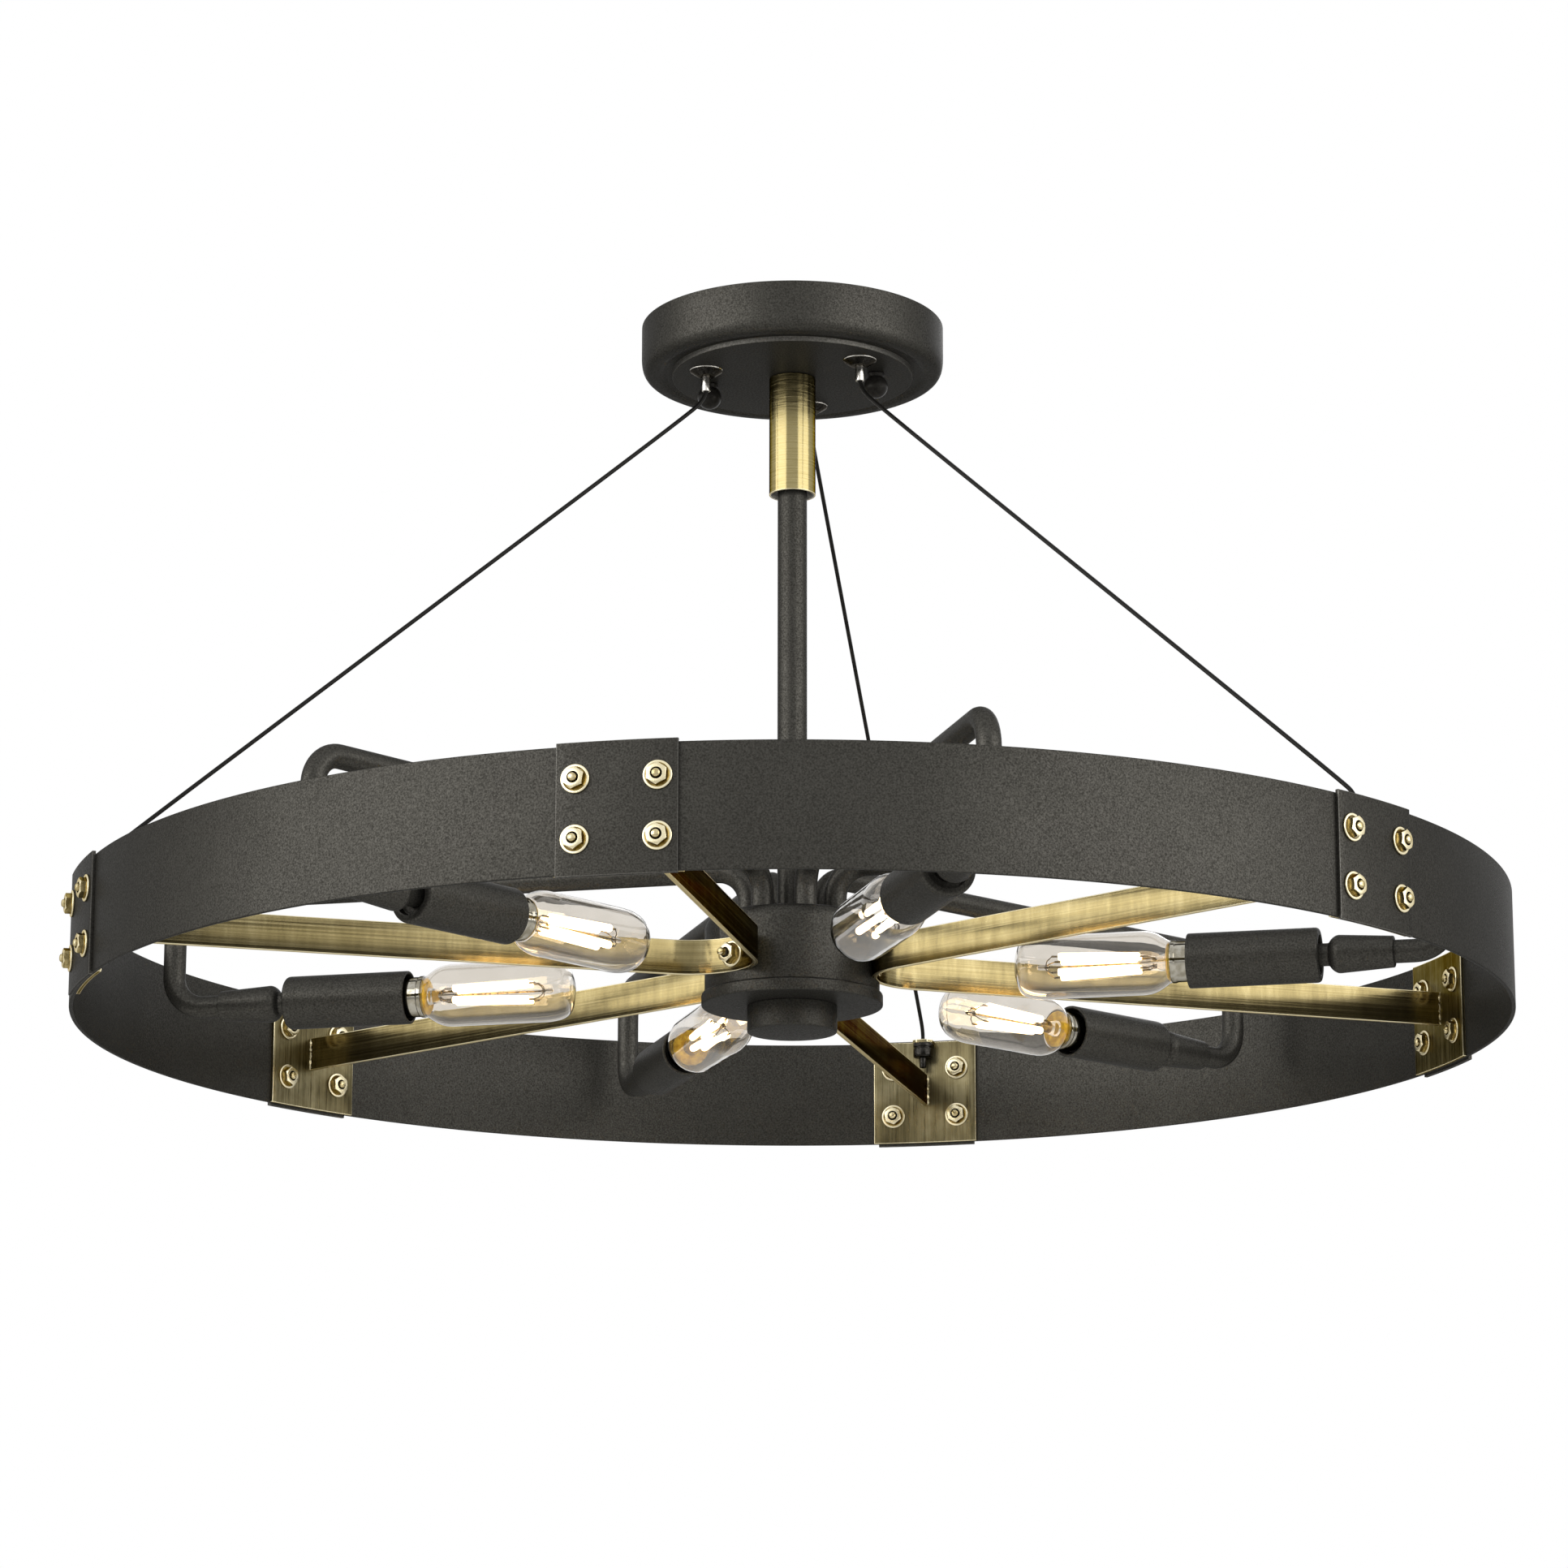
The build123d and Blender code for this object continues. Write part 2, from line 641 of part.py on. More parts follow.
# Cables: down through the gripper and its nozzle, straight and taut to the lug, and through it
cable_start = barrel_top
cable_corner = gripper_nose - nozzle_showing - cable_straight_below_nozzle
stop_bottom = lug_bottom - stop_length
cable_bends = 2
for number, azimuth in enumerate(cable_azimuths, 1):
    out = direction(azimuth)
    corners = [
        out * gripper_circle_radius + Vector(0, 0, cable_start),
        out * gripper_circle_radius + Vector(0, 0, cable_corner),
        out * cable_lug_radius + Vector(0, 0, lug_top + cable_above_lug),
        out * cable_lug_radius + Vector(0, 0, lug_bottom),
    ]
    top_bend = bent_route(corners[:3], cable_top_bend_radius, cable_bends)
    lug_bend = bent_route(corners[1:], cable_lug_bend_radius, cable_bends)
    route = top_bend[:-1] + lug_bend[1:]
    with BuildPart() as cable:
        add(bent_tube(route, Vector(-out.Y, out.X, 0), hex_sides, cable_radius))
    save(cable, f"cable_{number}")

# Cable stops: a barrel under each lug, with the narrow crimp that grips the cable's end
with BuildPart() as cable_stops:
    for azimuth in cable_azimuths:
        place = Plane.XY.shift_origin(direction(azimuth) * cable_lug_radius)
        with BuildSketch(place.offset(lug_bottom)):
            RegularPolygon(stop_radius, stud_sides)
        extrude(amount=-stop_length)
        with BuildSketch(place.offset(stop_bottom)):
            RegularPolygon(crimp_radius, hex_sides)
        extrude(amount=-crimp_length)
save(cable_stops, "cable_stops")

# Arms and lamps, one set for each lamp
cup_end = cup_start + cup_length
cover_start = cup_end + neck_length
cover_end = cover_start + cover_length
cover_floor = cover_start + cover_back_recess + cover_back_wall
holder_end = cover_floor + holder_length
collar_start = cover_end - bulb_collar_inside
glass_start = cover_end + bulb_collar_showing
base_start = collar_start - bulb_base_length
shell_floor = base_start - contact_height
drop_distance = arm_drop_radius - arm_root_radius

with BuildPart() as arm_nuts:
    for azimuth in lamp_azimuths:
        place = Plane.XY.shift_origin(direction(azimuth) * arm_root_radius)
        add(hex_nut(place.offset(hub_inner_top - arm_nut_height), arm_nut_radius, arm_nut_height,
                    arm_thread_radius + fit_gap, hex_sides))
save(arm_nuts, "arm_nuts")


def lamp_place(number):
    """Plane at the foot of the arm's drop, that faces along the lamp's axis towards the hub."""
    azimuth = lamp_azimuths[number]
    heading = direction(azimuth + arm_turns[number])
    root = direction(azimuth) * arm_root_radius
    foot = root + heading * drop_distance + Vector(0, 0, lamp_level)
    return Plane(origin=foot, x_dir=(-heading.Y, heading.X, 0), z_dir=heading * -1)


def arm(number):
    """Bent tube with the thread that passes the hub's top, and the cup at its lamp end."""
    place = lamp_place(number)
    heading = place.z_dir * -1
    root = direction(lamp_azimuths[number]) * arm_root_radius
    drop = root + heading * drop_distance
    corners = [
        root + Vector(0, 0, hub_top_level),
        root + Vector(0, 0, run_level),
        drop + Vector(0, 0, run_level),
        drop + Vector(0, 0, lamp_level),
        drop - heading * cup_start + Vector(0, 0, lamp_level),
    ]
    route = bent_route(corners, arm_bend_radius, arm_bend_steps)
    with BuildPart() as weldment:
        add(bent_tube(route, place.x_dir, tube_sides, arm_tube_radius))
        with BuildSketch(Plane(origin=root + Vector(0, 0, hub_top_level))):
            RegularPolygon(arm_thread_radius, hex_sides)
        extrude(amount=-arm_thread_length)
        add(turned(place, tube_sides, [
            (cup_start, cup_small_radius),
            (cup_end - cup_lip, cup_large_radius),
            (cup_end, neck_radius),
            (cover_floor, neck_radius),
        ]))
    return weldment


def socket_cover(number):
    """Plain tube over the lampholder, recessed at the back, with a hole for the neck."""
    place = lamp_place(number)
    with BuildPart() as cover:
        add(turned(place, cover_sides, [
            (cover_start, cover_radius - cover_back_edge),
            (cover_start + cover_back_edge, cover_radius),
            (cover_end, cover_radius),
        ]))
        with BuildSketch(place.offset(cover_floor)):
            RegularPolygon(cover_radius - cover_wall, cover_sides)
        extrude(amount=cover_end - cover_floor, mode=Mode.SUBTRACT)
        with BuildSketch(place.offset(cover_start)):
            RegularPolygon(cover_back_recess_radius, tube_sides)
        extrude(amount=cover_back_recess, mode=Mode.SUBTRACT)
        with BuildSketch(place.offset(cover_start)):
            RegularPolygon(neck_radius + fit_gap, tube_sides)
        extrude(amount=cover_floor - cover_start, mode=Mode.SUBTRACT)
    return cover


def lampholder(number):
    """Insulating body with the shell bore that takes the bulb's base."""
    place = lamp_place(number)
    with BuildPart() as holder:
        with BuildSketch(place.offset(cover_floor)):
            RegularPolygon(cover_radius - cover_wall - holder_gap, holder_sides)
        extrude(amount=holder_length)
        with BuildSketch(place.offset(shell_floor)):
            RegularPolygon(clear_of(bulb_base_radius, holder_sides), holder_sides)
        extrude(amount=holder_end - shell_floor, mode=Mode.SUBTRACT)
    return holder


def bulb_base(number):
    """Metal base: the screw shell, and the collar that flares out to the glass."""
    with BuildPart() as base:
        add(turned(lamp_place(number), tube_sides, [
            (base_start, bulb_base_radius),
            (collar_start, bulb_base_radius),
            (collar_start + bulb_collar_flare, bulb_collar_radius),
            (glass_start, bulb_collar_radius),
        ]))
    return base


def bulb_contact(number):
    """Button in the middle of the base's end."""
    with BuildPart() as contact:
        with BuildSketch(lamp_place(number).offset(base_start)):
            RegularPolygon(contact_radius, hex_sides)
        extrude(amount=-contact_height)
    return contact


def bulb_glass(number):
    """Tubular glass with a domed tip, narrowed at the collar."""
    tip = glass_start + glass_length
    shoulder_rise, shoulder_radius = glass_shoulder_corner
    with BuildPart() as glass:
        add(turned(lamp_place(number), glass_sides, [
            (glass_start, bulb_collar_radius),
            (glass_start + shoulder_rise, shoulder_radius),
            (glass_start + glass_shoulder, glass_radius),
            (tip - glass_dome, glass_radius),
            *((tip - drop, radius) for drop, radius in glass_dome_corners),
            (tip, glass_tip_radius),
        ]))
    return glass


with BuildPart() as lampholders:
    for number in range(lamp_count):
        add(lampholder(number).part)
save(lampholders, "lampholders")

for number in range(lamp_count):
    save(arm(number), f"arm_{number + 1}")
    save(socket_cover(number), f"socket_cover_{number + 1}")
    save(bulb_base(number), f"bulb_base_{number + 1}")
    save(bulb_contact(number), f"bulb_contact_{number + 1}")
    save(bulb_glass(number), f"bulb_glass_{number + 1}")
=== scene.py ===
import json
import math

import bmesh
import bpy
from mathutils import Matrix, Vector


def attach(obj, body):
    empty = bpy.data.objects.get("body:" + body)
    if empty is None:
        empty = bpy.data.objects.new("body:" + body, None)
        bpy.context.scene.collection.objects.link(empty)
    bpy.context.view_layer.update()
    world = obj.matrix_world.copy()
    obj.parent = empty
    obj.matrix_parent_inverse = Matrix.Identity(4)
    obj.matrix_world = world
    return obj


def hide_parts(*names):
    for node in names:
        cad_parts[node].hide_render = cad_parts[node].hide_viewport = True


# A six-lamp semi-flush ceiling light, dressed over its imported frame. Lengths in this file are in
# millimetres until a piece is made, and Blender's are in metres. The frame is the model's own:
# the origin is the centre of the ceiling plane and +Z points up. A turned piece's profile is a list
# of (height, radius) points, and where it goes through soften() a third number rounds that corner.

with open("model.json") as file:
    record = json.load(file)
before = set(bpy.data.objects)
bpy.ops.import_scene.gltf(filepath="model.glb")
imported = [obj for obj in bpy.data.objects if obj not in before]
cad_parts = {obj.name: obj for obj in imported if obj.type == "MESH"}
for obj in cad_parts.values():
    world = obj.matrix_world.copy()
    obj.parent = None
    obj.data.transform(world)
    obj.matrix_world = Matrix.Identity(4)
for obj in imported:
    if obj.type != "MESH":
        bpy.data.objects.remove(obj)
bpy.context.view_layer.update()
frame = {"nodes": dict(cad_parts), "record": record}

MM = 0.001

# Canopy and stem, as the solids have them
CANOPY_BOTTOM = -21.3
CANOPY_INSIDE = -20.1
CANOPY_RADIUS = 62.0
CANOPY_WALL = 1.2
STUD_REACH = 35.0
STUD_BOTTOM = -26.9
BALL_RADIUS = 4.9
GRIPPER_REACH = 37.0
SLEEVE_BOTTOM = -71.3
SLEEVE_RADIUS = 9.5
SLEEVE_BORE = 8.7
SLEEVE_INSIDE = -23.0
STEM_BOTTOM = -291.6
STEM_RADIUS = 6.0
STEM_BORE = 3.6
STEM_THREAD = 4.8
THREAD_HOLE = 4.9
THREAD_ROOT = 4.5

# Hub
HUB_TOP = -248.5
HUB_BOTTOM = -279.2
HUB_RADIUS = 35.0
HUB_INNER = 30.5
FLANGE_BOTTOM = -284.2
FLANGE_RADIUS = 36.3
FINIAL_BOTTOM = -294.8
FINIAL_FLOOR = -291.8
FINIAL_RADIUS = 18.0
STACK_GAP = 0.05

# Ring, its plates and their bolts
RING_LEVEL = -269.0
RING_HEIGHT = 46.0
RING_BOTTOM = RING_LEVEL - RING_HEIGHT / 2
RING_TOP = RING_LEVEL + RING_HEIGHT / 2
RING_RADIUS = 286.0
BAND_INNER = 284.4
PLATE_INNER = 282.9
PLATE_OUTER = 287.5
OUTER_PLATE_SIZE = (44.0, 48.0)
INNER_PLATE_SIZE = (47.0, 46.0)
PLATE_GAP = 0.02
BOLT_SPACING = 29.4
BOLT_RISE = 10.8
NUT_ACROSS = 7.0
NUT_HOLE = 2.15
NUT_COUNTERSINK = 0.8
WASHER_RADIUS = 5.25

# Straps, each bent round a seat in the hub, and the cables' lugs on them
STRAP_LEVEL = -268.0
BAR_THICKNESS = 2.0
BAR_HEIGHT = 14.0
SEAT_REACH = 60.0
SEAT_RADIUS = 27.05
BEND_RADIUS = 26.0
PLATE_TURN = 30.0
LUG_RADIUS = 278.3
LUG_TOP = RING_TOP
LUG_BOTTOM = LUG_TOP - 1.5
CABLE_RADIUS = 0.86

# Arms, and places along a lamp's axis from the foot of its arm's drop
RUN_LEVEL = -227.5
LAMP_LEVEL = -273.0
ARM_ROOT = 17.7
ARM_DROP = 262.0
ARM_BEND = 13.0
ARM_RADIUS = 4.6
CUP_START = 21.0
HOLDER_START = 56.5
SOCKET_START = 50.0
SOCKET_END = 102.0
SOCKET_RADIUS = 10.85
BASE_START = 80.55
BASE_RADIUS = 8.15
GLASS_START = 108.5
GLASS_END = 171.0
GLASS_RADIUS = 12.7
GLASS_WALL = 0.55
FILAMENT_START = 121.0
FILAMENT_END = 153.5

# Azimuths, in degrees from +X
ARM_TURNS = (0.5, -2.5, -1.0, -5.0, -1.5, -1.5)
LAMP_AZIMUTHS = tuple(-120.0 + 60.0 * n for n in range(6))
BRACKET_AZIMUTHS = tuple(-90.0 + 60.0 * n for n in range(6))
STRAP_AZIMUTHS = (-120.0, 0.0, 120.0)
CABLE_AZIMUTHS = tuple(azimuth - PLATE_TURN for azimuth in STRAP_AZIMUTHS)

# Meshes
SHARP_ANGLE = 34.0
SOFT_ANGLE = 60.0
BEVEL_ANGLE = 30.0
BEVEL_WIDTH = 0.28
SAME_POINT = 1e-7
MERGE_DISTANCE = 1e-5
STEM_AXIS = Matrix.Identity(4)


# Geometry helpers

def direction(azimuth):
    """Unit vector outward from the stem at this azimuth."""
    angle = math.radians(azimuth)
    return Vector((math.cos(angle), math.sin(angle), 0.0))


def up(level):
    """Upright vector of this length."""
    return Vector((0.0, 0.0, level))


def beside(out):
    """Level vector square to this one, a quarter turn on from it."""
    return Vector((-out.y, out.x, 0.0))


def placed(origin, normal, across):
    """Matrix of a plane with this origin, its Z along the normal and its X across."""
    z = Vector(normal).normalized()
    x = Vector(across).normalized()
    y = z.cross(x)
    matrix = Matrix((x, y, z)).transposed().to_4x4()
    matrix.translation = Vector(origin)
    return matrix


def outward(azimuth, reach, level):
    """Matrix of an upright plane that faces outward, with its Y up."""
    out = direction(azimuth)
    return placed(out * reach + up(level), out, beside(out))


def upright(azimuth, reach):
    """Matrix of a level plane at a point off the stem."""
    return Matrix.Translation(direction(azimuth) * reach)


def spaced(length, count):
    """Distances along a length, at the ends of this many equal parts."""
    return [length * part / count for part in range(count + 1)]


def circle(segments):
    """Angles of points spaced evenly round a circle."""
    return spaced(2 * math.pi, segments)[:-1]


def tangents(points):
    """Direction of a line at each of its points."""
    last = len(points) - 1
    return [(points[min(index + 1, last)] - points[max(index - 1, 0)]).normalized()
            for index in range(last + 1)]


def distances(points):
    """Length along a line at each of its points."""
    along = [0.0]
    for before, after in zip(points, points[1:]):
        along.append(along[-1] + (after - before).length)
    return along


def soften(corners, steps, closed=False):
    """Profile points, with a short curve in place of each corner that has a third number."""
    profile = []
    count = len(corners)
    for index, corner in enumerate(corners):
        point = Vector(corner[:2])
        reach = corner[2] if len(corner) > 2 else 0.0
        if not reach or (not closed and index in (0, count - 1)):
            profile.append(point)
            continue
        back = Vector(corners[index - 1][:2]) - point
        ahead = Vector(corners[(index + 1) % count][:2]) - point
        start = point + back.normalized() * min(reach, back.length * 0.49)
        end = point + ahead.normalized() * min(reach, ahead.length * 0.49)
        for step in range(steps + 1):
            t = step / steps
            profile.append(start * (1 - t) ** 2 + point * (2 * t * (1 - t)) + end * t * t)
    return profile


def plain_bar(low, high, radius):
    """Profile of a plain round bar."""
    return [(low, 0.0), (low, radius), (high, radius), (high, 0.0)]


def threaded(start, end, radius, pitch, depth=0.32):
    """Profile of a threaded bar's flanks, from one height to another."""
    turns = max(int(abs(end - start) / pitch), 1)
    profile = []
    for turn in range(turns):
        low = start + (end - start) * turn / turns
        middle = start + (end - start) * (turn + 0.5) / turns
        profile += [(low, radius - depth), (middle, radius)]
    return profile + [(end, radius - depth)]


class Shape:
    """A mesh under construction, in millimetres, with UVs in metres: U along a piece's grain."""

    def __init__(self):
        self.bm = bmesh.new()
        self.uv = self.bm.loops.layers.uv.new("UVMap")

    def cap(self, row, material=0):
        """Face on a row of vertices, with no UVs."""
        face = self.bm.faces.new(row)
        face.material_index = material
        face.smooth = True
        return face

    def ends(self, made, material=0):
        """Faces on the first and last row of a grid."""
        self.cap(made[0][::-1], material)
        self.cap(made[-1], material)

    def face(self, verts, uvs, material=0):
        """Face with UVs, and without the vertices that repeat."""
        if len(set(verts)) < 3:
            return
        kept = [(v, uv) for index, (v, uv) in enumerate(zip(verts, uvs)) if v not in verts[:index]]
        face = self.cap([v for v, _ in kept], material)
        for loop, (_, uv) in zip(face.loops, kept):
            loop[self.uv].uv = (uv[0] * MM, uv[1] * MM)

    def grid(self, rows, closed=False, us=None, vs=None, material=0, crosswise=False):
        """Faces between rows of points, each row a loop as long as the others. U counts the rows, or,
        where the grain is crosswise, the points in a row. A closed grid's last row meets its first."""
        count_r, count_c = len(rows), len(rows[0])
        us = us or range(count_r + 1)
        vs = vs or range(count_c + 1)
        made = []
        for row in rows:
            if all((p - row[0]).length < SAME_POINT for p in row):
                made.append([self.bm.verts.new(row[0])] * count_c)
            else:
                made.append([self.bm.verts.new(p) for p in row])
        for r in range(count_r if closed else count_r - 1):
            r2 = (r + 1) % count_r
            for c in range(count_c):
                c2 = (c + 1) % count_c
                uvs = [(us[r], vs[c]), (us[r], vs[c + 1]), (us[r + 1], vs[c + 1]), (us[r + 1], vs[c])]
                if crosswise:
                    uvs = [(v, u) for u, v in uvs]
                self.face([made[r][c], made[r][c2], made[r2][c2], made[r2][c]], uvs,
                          material(r, c) if callable(material) else material)
        return made

    def turn(self, place, profile, segments, closed=False, material=0):
        """Turned form along the plane's normal, with its U round it."""
        profile = [Vector(point) for point in profile]
        rows = [[place @ Vector((radius * math.cos(angle), radius * math.sin(angle), height))
                 for angle in circle(segments)] for height, radius in profile]
        around = spaced(2 * math.pi * max(radius for _, radius in profile), segments)
        self.grid(rows, closed, distances(profile + profile[:1]), around, material, crosswise=True)

    def tube(self, route, radius, segments):
        """Round tube along points, with its U along the route."""
        points = [Vector(p) for p in route]
        headings = tangents(points)
        side = headings[0].orthogonal().normalized()
        rows = []
        for point, heading in zip(points, headings):
            side = (side - heading * side.dot(heading)).normalized()
            other = heading.cross(side)
            rows.append([point + side * (radius * math.cos(angle)) + other * (radius * math.sin(angle))
                         for angle in circle(segments)])
        self.ends(self.grid(rows, us=distances(points), vs=spaced(2 * math.pi * radius, segments)))

    def nut(self, place, height, start=0.0):
        """Hexagon nut: plain sides, a chamfered face in a painted highlight and a countersunk hole in
        painted shade.
        """
        half = NUT_ACROSS / 2
        chamfer = half * 0.95
        top = start + height
        floor = top - NUT_COUNTERSINK
        rows = [[] for _ in range(7)]
        for angle in circle(72):
            off = (math.degrees(angle) + 30) % 60 - 30
            reach = half / math.cos(math.radians(off))
            drop = max(reach - chamfer, 0) * math.tan(math.radians(30))
            section = [(start, 0.0), (start, reach), (top - drop, reach), (top, chamfer),
                       (top, NUT_HOLE), (floor, NUT_HOLE - 0.45), (floor, 0.0)]
            for row, (level, radius) in zip(rows, section):
                row.append(place @ Vector((radius * math.cos(angle), radius * math.sin(angle), level)))
        self.grid(rows, us=[0.0, 1.0] + [height + n for n in range(5)],
                  material=lambda r, c: (0, 0, 1, 1, 2, 2)[r])

    def piece(self, name, materials, body="fixture", slot=None, replaces=(), bevelled=False,
              sharp=SHARP_ANGLE):
        """Makes the object, with its edges bevelled in its second material if asked, on its body."""
        bm = self.bm
        bmesh.ops.remove_doubles(bm, verts=bm.verts, dist=MERGE_DISTANCE)
        bmesh.ops.recalc_face_normals(bm, faces=bm.faces)
        if bevelled:
            limit = math.radians(BEVEL_ANGLE)
            edges = [e for e in bm.edges if len(e.link_faces) == 2 and e.calc_face_angle(0) > limit]
            # The bevels take the second material, which in this script is always a painted highlight.
            bmesh.ops.bevel(bm, geom=edges, offset=BEVEL_WIDTH, offset_type="OFFSET", segments=2,
                            profile=0.6, affect="EDGES", clamp_overlap=True, material=1)
        bmesh.ops.scale(bm, vec=(MM, MM, MM), verts=bm.verts)
        for face in bm.faces:
            face.smooth = True
        mesh = bpy.data.meshes.new(name)
        bm.to_mesh(mesh)
        bm.free()
        mesh.set_sharp_from_angle(angle=math.radians(sharp))
        obj = bpy.data.objects.new(name, mesh)
        bpy.context.scene.collection.objects.link(obj)
        for material in materials:
            mesh.materials.append(material)
        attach(obj, body)
        if replaces:
            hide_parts(*replaces)
        return obj


def drilled(obj, cutter):
    """Cuts a shape out of a piece."""
    tool = cutter.piece("cutter", [obj.data.materials[0]])
    cut = obj.modifiers.new("holes", "BOOLEAN")
    cut.operation = "DIFFERENCE"
    cut.solver = "EXACT"
    cut.object = tool
    bpy.context.view_layer.update()
    shaped = bpy.data.meshes.new_from_object(obj.evaluated_get(bpy.context.evaluated_depsgraph_get()))
    obj.modifiers.clear()
    obj.data = shaped
    for polygon in shaped.polygons:
        polygon.use_smooth = True
    shaped.set_sharp_from_angle(angle=math.radians(SHARP_ANGLE))
    bpy.data.objects.remove(tool)


# Materials

class Finish:
    """A node material under construction, round its Principled shader."""

    def __init__(self, name):
        self.material = bpy.data.materials.new(name)
        self.material.use_nodes = True
        self.nodes = self.material.node_tree.nodes
        self.links = self.material.node_tree.links
        self.shader = self.nodes["Principled BSDF"]

    def set(self, **values):
        """Values on the shader's own sockets, named with _ in place of a space."""
        for name, value in values.items():
            self.shader.inputs[name.replace("_", " ")].default_value = value

    def feed(self, name, source):
        """Links an output to one of the shader's sockets."""
        self.links.new(source, self.shader.inputs[name])

    def coordinates(self, output="Object"):
        """Texture coordinates: in the object's space, or its UVs."""
        return self.nodes.new("ShaderNodeTexCoord").outputs[output]

    def node(self, kind, values, source, into="Vector"):
        """Node with these input values, and one input linked to a source."""
        node = self.nodes.new(kind)
        for name, value in values.items():
            node.inputs[name].default_value = value
        self.links.new(source, node.inputs[into])
        return node

    def mapping(self, source, **values):
        """Coordinates scaled or turned."""
        node = self.node("ShaderNodeMapping", {k.title(): v for k, v in values.items()}, source)
        return node.outputs["Vector"]

    def noise(self, source, scale, detail=2.0, roughness=0.5):
        """Noise texture on a vector output."""
        values = {"Scale": scale, "Detail": detail, "Roughness": roughness}
        return self.node("ShaderNodeTexNoise", values, source).outputs["Fac"]

    def tone(self, source, stops, into="Base Color"):
        """Colour ramp from (position, colour) stops, as one of the shader's colours."""
        node = self.node("ShaderNodeValToRGB", {}, source, "Fac")
        elements = node.color_ramp.elements
        for index, (position, colour) in enumerate(stops):
            element = elements[index] if index < 2 else elements.new(position)
            element.position = position
            element.color = (*colour, 1.0)
        self.feed(into, node.outputs["Color"])

    def gloss(self, source, low, high):
        """Roughness between two values, as the source goes from 0.3 to 0.7."""
        values = {"From Min": 0.3, "From Max": 0.7, "To Min": low, "To Max": high}
        self.feed("Roughness", self.node("ShaderNodeMapRange", values, source, "Value").outputs["Result"])

    def bump(self, source, distance, strength=1.0):
        """Bump from a height output, its distance in metres."""
        values = {"Strength": strength, "Distance": distance}
        self.feed("Normal", self.node("ShaderNodeBump", values, source, "Height").outputs["Normal"])

    def weighed(self, first, second, share):
        """Value output: this share of the first and the rest of the second."""
        part = self.node("ShaderNodeMath", {1: 1.0 - share}, second, 0)
        part.operation = "MULTIPLY"
        whole = self.node("ShaderNodeMath", {1: share}, first, 0)
        whole.operation = "MULTIPLY_ADD"
        self.links.new(part.outputs[0], whole.inputs[2])
        return whole.outputs[0]


def coated(name, dark, light, roughness, grain=1500.0, height=0.00006, specular=0.2, metallic=0.0):
    """Powder coat or plastic: a slightly uneven colour over a fine sandy bump."""
    finish = Finish(name)
    place = finish.coordinates()
    broad = finish.noise(place, scale=45.0, detail=3.0)
    fine = finish.noise(place, scale=grain, roughness=0.55)
    mixed = finish.weighed(fine, broad, share=0.88)
    finish.tone(mixed, [(0.34, dark), (0.66, light)])
    finish.gloss(fine, roughness + 0.08, roughness - 0.08)
    finish.set(Specular_IOR_Level=specular, Metallic=metallic, Specular_Tint=(0.08, 0.078, 0.074, 1.0))
    finish.bump(fine, height)
    return finish.material


def brushed(name, dark, middle, light, roughness, lines=1500.0, stretch=7.0, depth=0.00003,
            blotch=0.25, edge=(0.6, 0.52, 0.36), marks=0.0, drawn=0.0):
    """Brushed metal: streaks along U, slow changes of tone, worn marks across the streaks, a sheen of
    its own colour at its turned edges, and highlights drawn out across the streaks."""
    finish = Finish(name)
    source = finish.nodes.new("ShaderNodeTexCoord")
    along = finish.mapping(source.outputs["UV"], scale=(stretch, lines, 1.0))
    streak = finish.noise(along, scale=1.0, detail=3.0, roughness=0.6)
    slow = finish.noise(source.outputs["Object"], scale=42.0, detail=5.0, roughness=0.6)
    if marks:
        across = finish.mapping(source.outputs["UV"], scale=(marks, marks * 0.16, 1.0))
        worn = finish.noise(across, scale=1.0, detail=6.0, roughness=0.72)
        slow = finish.weighed(worn, slow, share=0.75)
    mixed = finish.weighed(streak, slow, 1.0 - blotch)
    finish.tone(mixed, [(0.34, dark), (0.66, light), (0.5, middle)])
    finish.set(Metallic=1.0, Specular_Tint=(*edge, 1.0))
    finish.gloss(streak, roughness - 0.07, roughness + 0.09)
    if drawn:
        tangent = finish.nodes.new("ShaderNodeTangent")
        tangent.direction_type = "UV_MAP"
        tangent.uv_map = "UVMap"
        finish.feed("Tangent", tangent.outputs["Tangent"])
        finish.set(Anisotropic=drawn, Anisotropic_Rotation=0.25)
    finish.bump(streak, depth)
    return finish.material


def plated(name, colour, dull, roughness, grain=900.0, depth=0.00002, edge=(0.6, 0.58, 0.55)):
    """Plated or satin metal: a faint mottle in colour and gloss."""
    finish = Finish(name)
    mottle = finish.noise(finish.coordinates(), grain, detail=3.0)
    finish.tone(mottle, [(0.38, dull), (0.6, colour)])
    finish.set(Metallic=1.0, Specular_Tint=(*edge, 1.0))
    finish.gloss(mottle, roughness + 0.06, max(roughness - 0.04, 0.04))
    finish.bump(mottle, depth)
    return finish.material


def stranded(name):
    """Thin coated wire rope: slanted strands in tone and bump."""
    finish = Finish(name)
    slanted = finish.mapping(finish.coordinates("UV"), rotation=(0.0, 0.0, math.radians(58)))
    wave = finish.node("ShaderNodeTexWave", {"Scale": 800.0, "Distortion": 0.4}, slanted).outputs["Fac"]
    finish.tone(wave, [(0.1, (0.009, 0.009, 0.008)), (0.9, (0.016, 0.015, 0.014))])
    finish.set(Metallic=0.4, Roughness=0.34, Specular_IOR_Level=0.3, Specular_Tint=(0.4, 0.4, 0.4, 1.0))
    finish.bump(wave, 0.00001)
    return finish.material


